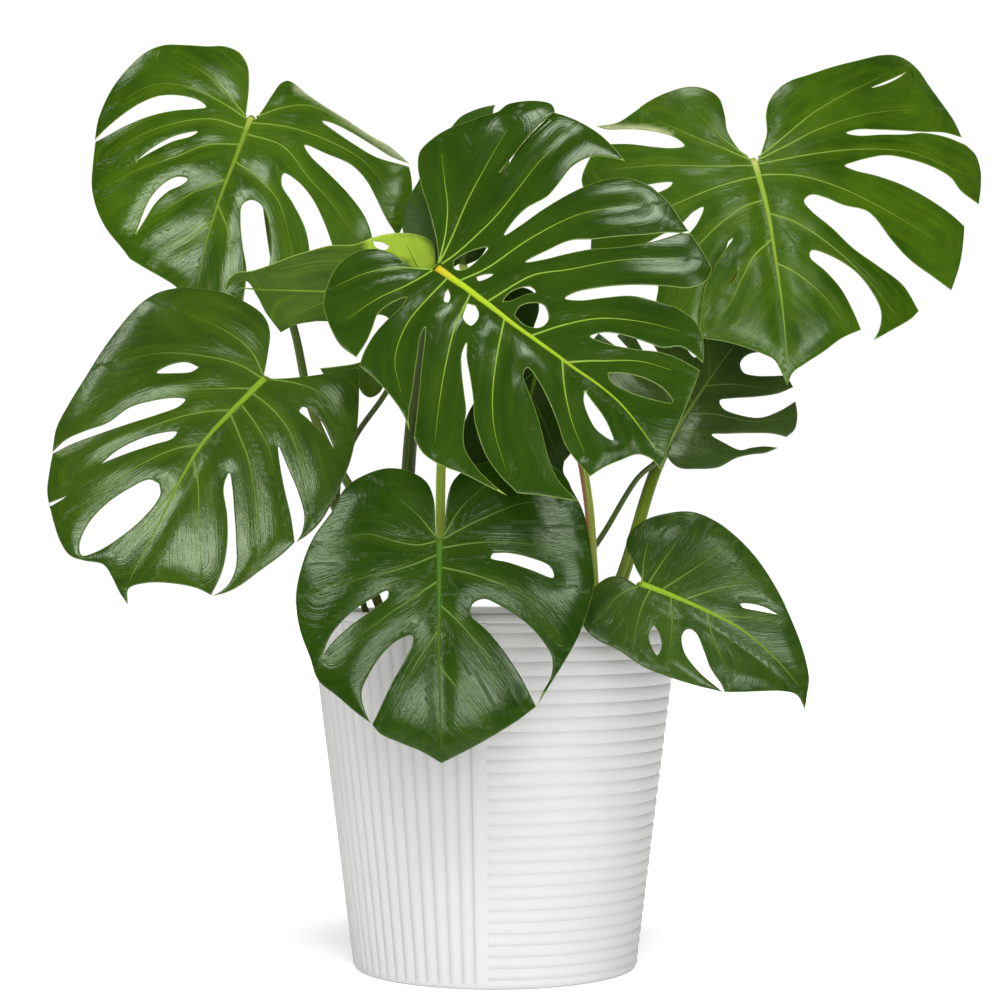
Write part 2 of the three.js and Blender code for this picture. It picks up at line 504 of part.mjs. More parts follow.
function lathe(profile, parts) {
  const turned = new THREE.LatheGeometry(profile.map((p) => new THREE.Vector2(p[0], p[1])), parts);
  turned.deleteAttribute("normal");
  turned.deleteAttribute("uv");
  turned.rotateX(Math.PI / 2);
  return solidFrom(turned);
}

// ---------------------------------------------------------------- pot
const wallRadius = (z) => POT_BASE_RADIUS + ((POT_RIM_RADIUS - POT_BASE_RADIUS) * z) / POT_HEIGHT;
const BODY_TOP = POT_HEIGHT - LIP_HEIGHT;

// A point of the pot at an angle from straight ahead, positive to the right.
function around(angle, radius, z) {
  const turn = THREE.MathUtils.degToRad(angle);
  return [radius * Math.sin(turn), -radius * Math.cos(turn), z];
}

function grooveHeights() {
  const heights = [];
  const growth = (TOPMOST_RIB - LOWEST_RIB) / (RIB_COUNT - 1);
  for (let k = 0; k <= RIB_COUNT; k += 1) {
    heights.push(FIRST_GROOVE + LOWEST_RIB * k + (growth * k * (k - 1)) / 2);
  }
  return heights;
}

// Right-hand side: level ribs, each one swelling out between two grooves.
function ribbedSide() {
  const grooves = grooveHeights();
  const levels = [[BASE_CORNER - 1, wallRadius(BASE_CORNER - 1) - 0.3]];
  grooves.forEach((z, k) => {
    levels.push([z, wallRadius(z) - GROOVE_DEPTH]);
    const above = k < RIB_COUNT ? grooves[k + 1] : BODY_TOP + 1.6;
    const middle = (z + above) / 2;
    levels.push([middle, wallRadius(middle)]);
  });
  const overrun = PLAIN_BAND / 3;
  const first = RIB_START - overrun;
  const span = 180 + PLAIN_BAND + 2 * overrun;
  const rings = levels.map(([z, radius]) => {
    const ring = [[0, 0, z]];
    for (let i = 0; i <= RIB_COLUMNS; i += 1) ring.push(around(first + (span * i) / RIB_COLUMNS, radius, z));
    return ring;
  });
  const top = levels[levels.length - 1][0];
  return solidFrom(loft(rings, [[20, 0, levels[0][0]], [20, 0, top]]));
}

// Left-hand side: upright flutes between narrow grooves, with a smooth strip at both ends.
function flutedSide() {
  const steps = [[RIB_START, 0], [RIB_START - PLAIN_BAND / 2, 0], [RIB_START - PLAIN_BAND + 0.4, 0]];
  const start = RIB_START - PLAIN_BAND;
  for (let k = 0; k < FLUTE_COUNT; k += 1) {
    steps.push([start - k * FLUTE_PITCH, GROOVE_DEPTH]);
    steps.push([start - (k + 0.33) * FLUTE_PITCH, 0]);
    steps.push([start - (k + 0.67) * FLUTE_PITCH, 0]);
  }
  const finish = start - FLUTE_COUNT * FLUTE_PITCH;
  steps.push([finish, GROOVE_DEPTH], [finish - 0.4, 0], [finish - PLAIN_BAND / 2, 0], [finish - PLAIN_BAND, 0]);
  const rings = [BASE_CORNER - 1, BODY_TOP + 0.5].map((z) => {
    const rim = steps.map(([angle, dip]) => around(angle, wallRadius(z) + 0.05 - dip, z));
    return [[0, 0, z], ...rim.reverse()];
  });
  return solidFrom(loft(rings, [[-20, 0, BASE_CORNER - 1], [-20, 0, BODY_TOP + 0.5]]));
}

function lipAndFoot() {
  const lip = wallRadius(POT_HEIGHT);
  const foot = wallRadius(BASE_CORNER);
  const turnIn = BASE_CORNER * 0.3;
  const profile = [[0, 0], [foot - BASE_CORNER, 0], [foot - turnIn, turnIn], [foot, BASE_CORNER]];
  profile.push([foot - 6, BASE_CORNER + 1]);
  profile.push([lip - 8, BODY_TOP - 1], [lip - 1, BODY_TOP], [lip, BODY_TOP + 1.2], [lip, POT_HEIGHT - 1.4]);
  profile.push([lip - 1.2, POT_HEIGHT], [0, POT_HEIGHT]);
  return lathe(profile, ROUND_PARTS);
}

function hollow(gap, top) {
  const low = POT_FLOOR + gap;
  const inside = (z) => wallRadius(z) - POT_WALL - gap;
  return [[0, low], [inside(low) - 6, low], [inside(low + 6), low + 6], [inside(top), top]];
}

function pot() {
  const inside = hollow(0, POT_HEIGHT - 1);
  const mouth = inside[inside.length - 1][0];
  inside.push([mouth + 1.2, POT_HEIGHT + 1], [0, POT_HEIGHT + 1]);
  const body = ribbedSide().add(flutedSide()).add(lipAndFoot());
  return body.subtract(lathe(inside, ROUND_PARTS));
}

// ---------------------------------------------------------------- soil
const soilLevel = (x, y) => SOIL_TOP + SOIL_CROWN * (1 - (x * x + y * y) / (wallRadius(SOIL_TOP) ** 2));

function soil() {
  const profile = hollow(CLEARANCE, SOIL_TOP);
  const edge = profile[profile.length - 1][0];
  [0.75, 0.5, 0.25].forEach((part) => profile.push([edge * part, soilLevel(edge * part, 0)]));
  profile.push([0, SOIL_TOP + SOIL_CROWN]);
  let body = lathe(profile, ROUND_PARTS);
  LEAVES.forEach(({ stalk }) => {
    const [x, y] = stalk.foot;
    const floor = soilLevel(x, y) - STALK_DEPTH - CLEARANCE;
    const hole = new THREE.CylinderGeometry(stalk.radius * 1.2 + CLEARANCE, stalk.radius * 1.2 + CLEARANCE, 80, 12);
    hole.rotateX(Math.PI / 2);
    hole.translate(x, y, floor + 40);
    hole.deleteAttribute("normal");
    hole.deleteAttribute("uv");
    body = body.subtract(solidFrom(hole));
  });
  return body;
}

// ---------------------------------------------------------------- blades
// Where a blade lies: its start, the two directions in its plane and the direction its upper side faces.
function frameOf(leaf) {
  const origin = vec(leaf.start);
  const along = vec(leaf.tip).sub(origin);
  const length = along.length();
  along.normalize();
  const up = vec(leaf.face);
  up.addScaledVector(along, -up.dot(along)).normalize();
  const across = new THREE.Vector3().crossVectors(up, along);
  return { origin, along, across, up, length };
}

// Height of the bent blade over its plane: a soft valley at the midrib, domed halves, a bowed length.
function bend(leaf, length, u, v) {
  const valley = leaf.fold * (Math.sqrt(v * v + SOFTNESS * SOFTNESS) - SOFTNESS);
  const dome = leaf.dome * v * v;
  const bow = u > 0 ? 0.0006 * u * (length - u) : -0.001 * u * u;
  return valley - dome + bow;
}

// The margins hang back from the side they face, more the further they are from the midrib.
function setBack(leaf, v, point) {
  const away = point.clone().sub(vec(FACED_POINT));
  return away.multiplyScalar((leaf.sag * (v / 100) ** 2) / away.y);
}

// Points along a run of hand-set points, on a smooth curve through them.
function smoothRun(points, step) {
  if (points.length < 3) return points.map(flat);
  const curve = new THREE.CatmullRomCurve3(points.map(flat), false, "centripetal");
  const spans = points.length - 1;
  const out = [];
  for (let i = 0; i < spans; i += 1) {
    const distance = flat(points[i]).distanceTo(flat(points[i + 1]));
    const parts = Math.max(1, Math.round(distance / step));
    for (let j = 0; j < parts; j += 1) out.push(curve.getPoint((i + j / parts) / spans));
  }
  out.push(flat(points[spans]));
  return out;
}

function smoothLoop(points, step) {
  const corner = points.findIndex((p) => p[2]);
  const turned = points.slice(Math.max(corner, 0)).concat(points.slice(0, Math.max(corner, 0)));
  turned.push(turned[0]);
  const loop = [];
  let run = [turned[0]];
  for (let i = 1; i < turned.length; i += 1) {
    run.push(turned[i]);
    if (turned[i][2] || i === turned.length - 1) {
      loop.push(...smoothRun(run, step).slice(0, -1));
      run = [turned[i]];
    }
  }
  return loop.map((p) => [p.x, p.y]);
}

const cross2 = (a, b, c) => (b[0] - a[0]) * (c[1] - a[1]) - (b[1] - a[1]) * (c[0] - a[0]);

function insideLoop(p, loop) {
  let inside = false;
  for (let i = 0, j = loop.length - 1; i < loop.length; j = i, i += 1) {
    const [a, b] = [loop[i], loop[j]];
    if (a[1] > p[1] !== b[1] > p[1] && p[0] < ((b[0] - a[0]) * (p[1] - a[1])) / (b[1] - a[1]) + a[0]) inside = !inside;
  }
  return inside;
}

function distanceToLoop(p, loop) {
  let best = Infinity;
  for (let i = 0, j = loop.length - 1; i < loop.length; j = i, i += 1) {
    const [a, b] = [loop[j], loop[i]];
    const [dx, dy] = [b[0] - a[0], b[1] - a[1]];
    const t = THREE.MathUtils.clamp(((p[0] - a[0]) * dx + (p[1] - a[1]) * dy) / (dx * dx + dy * dy), 0, 1);
    best = Math.min(best, Math.hypot(a[0] + t * dx - p[0], a[1] + t * dy - p[1]));
  }
  return best;
}

// Points inside the blade: three rows along the midrib, one along each side vein, and a loose grid between.
function innerPoints(leaf, loops) {
  const fits = (p, margin) =>
    insideLoop(p, loops[0]) &&
    loops.slice(1).every((hole) => !insideLoop(p, hole)) &&
    loops.every((loop) => distanceToLoop(p, loop) > margin);
  const chosen = [];
  const clear = (p, room) => chosen.every((q) => Math.hypot(q.u - p[0], q.v - p[1]) > room);
  const spine = smoothRun(leaf.midrib, VEIN_STEP);
  spine.forEach((p, i) => {
    const ahead = spine[Math.min(i + 1, spine.length - 1)];
    const behind = spine[Math.max(i - 1, 0)];
    const side = new THREE.Vector2(-(ahead.y - behind.y), ahead.x - behind.x).normalize();
    if (p.x < 8) return;
    const taper = 1 - (0.6 * i) / spine.length;
    if (!fits([p.x, p.y], 1)) return;
    chosen.push({ u: p.x, v: p.y, above: MIDRIB_ABOVE * taper, below: MIDRIB_BELOW * taper, dip: 0 });
    [-1, 1].forEach((way) => {
      const q = [p.x + way * side.x * MIDRIB_HALF_WIDTH * taper, p.y + way * side.y * MIDRIB_HALF_WIDTH * taper];
      if (fits(q, 1)) chosen.push({ u: q[0], v: q[1], above: 0, below: 0, dip: 0 });
    });
  });
  leaf.veins.forEach((vein) => {
    const line = smoothRun(vein, VEIN_STEP);
    line.forEach((p, i) => {
      const fade = 1 - (0.75 * i) / (line.length - 1);
      if (i > 0 && fits([p.x, p.y], 2) && clear([p.x, p.y], 5)) {
        chosen.push({ u: p.x, v: p.y, above: 0, below: RIB_BELOW * fade, dip: VEIN_DIP * Math.min(1, 2 * fade) });
      }
    });
  });
  const [us, vs] = [loops[0].map((p) => p[0]), loops[0].map((p) => p[1])];
  let row = 0;
  for (let u = Math.min(...us) + 4.3; u < Math.max(...us); u += GRID_STEP * 0.87) {
    row += 1;
    for (let v = Math.min(...vs) + (row % 2 ? 3.1 : 3.1 + GRID_STEP / 2); v < Math.max(...vs); v += GRID_STEP) {
      if (fits([u, v], 4.5) && clear([u, v], 9)) chosen.push({ u, v, above: 0, below: 0, dip: 0 });
    }
  }
  return chosen;
}

const edgeKey = (a, b) => (a < b ? a * 100000 + b : b * 100000 + a);

// Splits the triangle that holds each inner point; one that lies on an edge is first moved by a hair.
function addPoints(points, triangles, from) {
  const holds = (p, [a, b, c]) =>
    cross2(points[a], points[b], p) > 1e-3 &&
    cross2(points[b], points[c], p) > 1e-3 &&
    cross2(points[c], points[a], p) > 1e-3;
  for (let n = from; n < points.length; n += 1) {
    let hit = -1;
    for (let tries = 0; hit < 0 && tries < 20; tries += 1) {
      if (tries > 0) points[n] = [points[n][0] + HAIR, points[n][1] + HAIR / 2];
      hit = triangles.findIndex((t) => holds(points[n], t));
    }
    if (hit < 0) throw new Error("an inner point is outside the blade: " + points[n]);
    const [a, b, c] = triangles[hit];
    triangles.splice(hit, 1, [a, b, n], [b, c, n], [c, a, n]);
  }
}

function inCircle(a, b, c, d) {
  const rows = [a, b, c].map((p) => [p[0] - d[0], p[1] - d[1], (p[0] - d[0]) ** 2 + (p[1] - d[1]) ** 2]);
  const [p, q, r] = rows;
  return (
    p[0] * (q[1] * r[2] - q[2] * r[1]) - p[1] * (q[0] * r[2] - q[2] * r[0]) + p[2] * (q[0] * r[1] - q[1] * r[0]) > 1e-4
  );
}

// Turns the shared edge of two triangles until no pair can be made rounder.
function relax(points, triangles, fixed) {
  let turned = true;
  for (let pass = 0; turned && pass < 200; pass += 1) {
    turned = false;
    const owner = new Map();
    const touched = new Set();
    triangles.forEach((t, i) => t.forEach((a, k) => owner.set(a * 100000 + t[(k + 1) % 3], i)));
    triangles.forEach((t, i) => {
      for (let k = 0; k < 3 && !touched.has(i); k += 1) {
        const [a, b, c] = [t[k], t[(k + 1) % 3], t[(k + 2) % 3]];
        const other = owner.get(b * 100000 + a);
        if (other === undefined || touched.has(other) || fixed.has(edgeKey(a, b))) continue;
        const d = triangles[other].find((x) => x !== a && x !== b);
        const convex = cross2(points[c], points[a], points[d]) > 1e-6 && cross2(points[c], points[d], points[b]) > 1e-6;
        if (!convex || !inCircle(points[a], points[b], points[c], points[d])) continue;
        triangles[i] = [c, a, d];
        triangles[other] = [c, d, b];
        touched.add(i).add(other);
        turned = true;
      }
    });
  }
}

// Both faces of a blade carry the same triangles, with a wall along every edge and hole.
function blade(leaf) {
  const loops = [leaf.outline, ...leaf.holes].map((loop) => smoothLoop(loop, OUTLINE_STEP));
  const inner = innerPoints(leaf, loops);
  const points = loops.flat().concat(inner.map((p) => [p.u, p.v]));
  const shapes = loops.map((loop) => loop.map((p) => new THREE.Vector2(p[0], p[1])));
  let triangles = THREE.ShapeUtils.triangulateShape(shapes[0], shapes.slice(1)).map((t) => [...t]);
  triangles = triangles.map(([a, b, c]) => (cross2(points[a], points[b], points[c]) > 0 ? [a, b, c] : [a, c, b]));
  const fixed = new Set();
  let base = 0;
  loops.forEach((loop) => {
    loop.forEach((_, i) => fixed.add(edgeKey(base + i, base + ((i + 1) % loop.length))));
    base += loop.length;
  });
  addPoints(points, triangles, base);
  relax(points, triangles, fixed);
  const { origin, along, across, up, length } = frameOf(leaf);
  const lift = ([u, v], offset) => {
    const point = origin.clone().addScaledVector(along, u).addScaledVector(across, v);
    point.addScaledVector(up, bend(leaf, length, u, v) + offset);
    return point.add(setBack(leaf, v, point)).toArray();
  };
  const plain = { above: 0, below: 0, dip: 0 };
  const relief = points.map((_, i) => (i < base ? plain : inner[i - base]));
  const top = points.map((p, i) => lift(p, BLADE_THICKNESS / 2 + relief[i].above - relief[i].dip));
  const bottom = points.map((p, i) => lift(p, -BLADE_THICKNESS / 2 - relief[i].below - relief[i].dip));
  const count = points.length;
  const faces = triangles.flatMap(([a, b, c]) => [[a, b, c], [a + count, c + count, b + count]]);
  const directed = new Set(triangles.flatMap((t) => t.map((a, k) => a * 100000 + t[(k + 1) % 3])));
  directed.forEach((key) => {
    const [a, b] = [Math.floor(key / 100000), key % 100000];
    if (!directed.has(b * 100000 + a)) faces.push([a, a + count, b + count], [a, b + count, b]);
  });
  return indexed(top.concat(bottom), faces);
}

// ---------------------------------------------------------------- stalks
// A round stalk, thicker at its foot, that stands upright in the soil and ends behind the start of its blade.
function stalk(leaf) {
  const { origin, up } = frameOf(leaf);
  const { radius, foot, via } = leaf.stalk;
  const ground = soilLevel(foot[0], foot[1]);
  const path = [[...foot, ground - STALK_DEPTH], [...foot, ground + 4], ...via].map(vec);
  path.push(origin.clone().addScaledVector(up, -20).add(new THREE.Vector3(0, 0, -9)));
  path.push(origin.clone().addScaledVector(up, -2.6));
  const curve = new THREE.CatmullRomCurve3(path, false, "centripetal");
  const stations = [0, 0.999];
  const spans = path.length - 1;
  for (let i = 1; i < spans; i += 1) stations.push(i, i + 0.5);
  stations.push(spans);
  const frames = curve.computeFrenetFrames(spans * 40, false);
  const rings = stations.map((s) => {
    const t = s / spans;
    const centre = curve.getPoint(t);
    const at = Math.min(Math.round(curveShare(curve, t) * spans * 40), spans * 40);
    const [n, b] = [frames.normals[at], frames.binormals[at]];
    const thick = radius * (s < 1 ? 1.2 : 1.2 - 0.35 * ((s - 1) / (spans - 1)) ** 0.6);
    const ring = [];
    for (let k = 0; k < STALK_SIDES; k += 1) {
      const turn = (2 * Math.PI * k) / STALK_SIDES;
      ring.push(centre.clone().addScaledVector(n, thick * Math.cos(turn)).addScaledVector(b, thick * Math.sin(turn)).toArray());
    }
    return ring;
  });
  return loft(rings, [curve.getPoint(0).toArray(), curve.getPoint(1).toArray()]);
}

// The share of a curve's length that lies before a parameter, since frames are spaced by length.
function curveShare(curve, t) {
  const lengths = curve.getLengths(400);
  const place = t * 400;
  const low = Math.floor(place);
  const high = Math.min(low + 1, 400);
  return (lengths[low] + (lengths[high] - lengths[low]) * (place - low)) / lengths[400];
}

// ---------------------------------------------------------------- assembly
place("pot", geometryFrom(pot()), COLOURS.pot, 0.55);
place("soil", geometryFrom(soil()), COLOURS.soil, 0.95);
LEAVES.forEach((leaf) => {
  place("leaf_" + leaf.name, blade(leaf), COLOURS[leaf.colour], 0.4);
  place("stalk_" + leaf.name, stalk(leaf), COLOURS.stalk, 0.5);
});

export default group;
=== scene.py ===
# Potted monstera plant: the looks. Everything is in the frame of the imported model. The plant's lengths are
# millimetres and are turned to metres where a mesh is made; floor, light and camera are in metres.
import math
import bpy
import numpy as np
from mathutils import Matrix, Vector
from mathutils.geometry import delaunay_2d_cdt


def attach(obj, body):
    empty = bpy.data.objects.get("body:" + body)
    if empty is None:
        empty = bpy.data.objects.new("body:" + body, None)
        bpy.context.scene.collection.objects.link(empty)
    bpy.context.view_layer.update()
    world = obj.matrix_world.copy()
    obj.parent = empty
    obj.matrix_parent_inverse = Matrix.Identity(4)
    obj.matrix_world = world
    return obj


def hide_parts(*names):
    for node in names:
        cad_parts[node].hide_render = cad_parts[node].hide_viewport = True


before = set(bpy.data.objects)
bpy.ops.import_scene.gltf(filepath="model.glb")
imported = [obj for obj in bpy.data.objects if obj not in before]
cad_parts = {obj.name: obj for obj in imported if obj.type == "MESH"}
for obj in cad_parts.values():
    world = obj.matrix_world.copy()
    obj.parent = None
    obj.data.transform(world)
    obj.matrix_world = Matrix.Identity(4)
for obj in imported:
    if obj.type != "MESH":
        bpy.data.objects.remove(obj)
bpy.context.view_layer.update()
MM = 0.001
rng = np.random.default_rng(11)

# ---------------------------------------------------------------- sizes shared with the solids
POT_HEIGHT = 243
POT_BASE_RADIUS = 96.7
POT_RIM_RADIUS = 127.5
POT_WALL = 5
POT_FLOOR = 7
BASE_CORNER = 5
LIP_HEIGHT = 6.2
# The grooves are 0.1 mm deeper here than in the solids.
GROOVE_DEPTH = 1.5
RIB_COUNT = 27
FIRST_GROOVE = 6.6
LOWEST_RIB = 7.3
TOPMOST_RIB = 9.3
# Angles round the pot, in degrees.
FLUTE_PITCH = 5
PLAIN_BAND = 5
RIB_START = -2.5
FLUTE_COUNT = 33
SOIL_TOP = 219
SOIL_CROWN = 6
STALK_DEPTH = 24
# How softly a blade's two halves meet along the midrib, how far it bows along its length, and how its lobes
# behind the stalk drop; then the point that the blades' sides are hung back from.
SOFTNESS = 12
BOW = 0.0006
LOBE_DROP = 0.001
FACED_POINT = np.array([4.0, -1565.0, 274.0])
# A full turn in radians, as exact as the looks need it.
FULL_TURN = 6.28


def wall(z):
    """The pot's outer radius at a height, between its ribs and flutes."""
    return POT_BASE_RADIUS + (POT_RIM_RADIUS - POT_BASE_RADIUS) * z / POT_HEIGHT


def inner(z):
    return wall(z) - POT_WALL


def soil_level(x, y):
    return SOIL_TOP + SOIL_CROWN * (1 - (x * x + y * y) / wall(SOIL_TOP) ** 2)


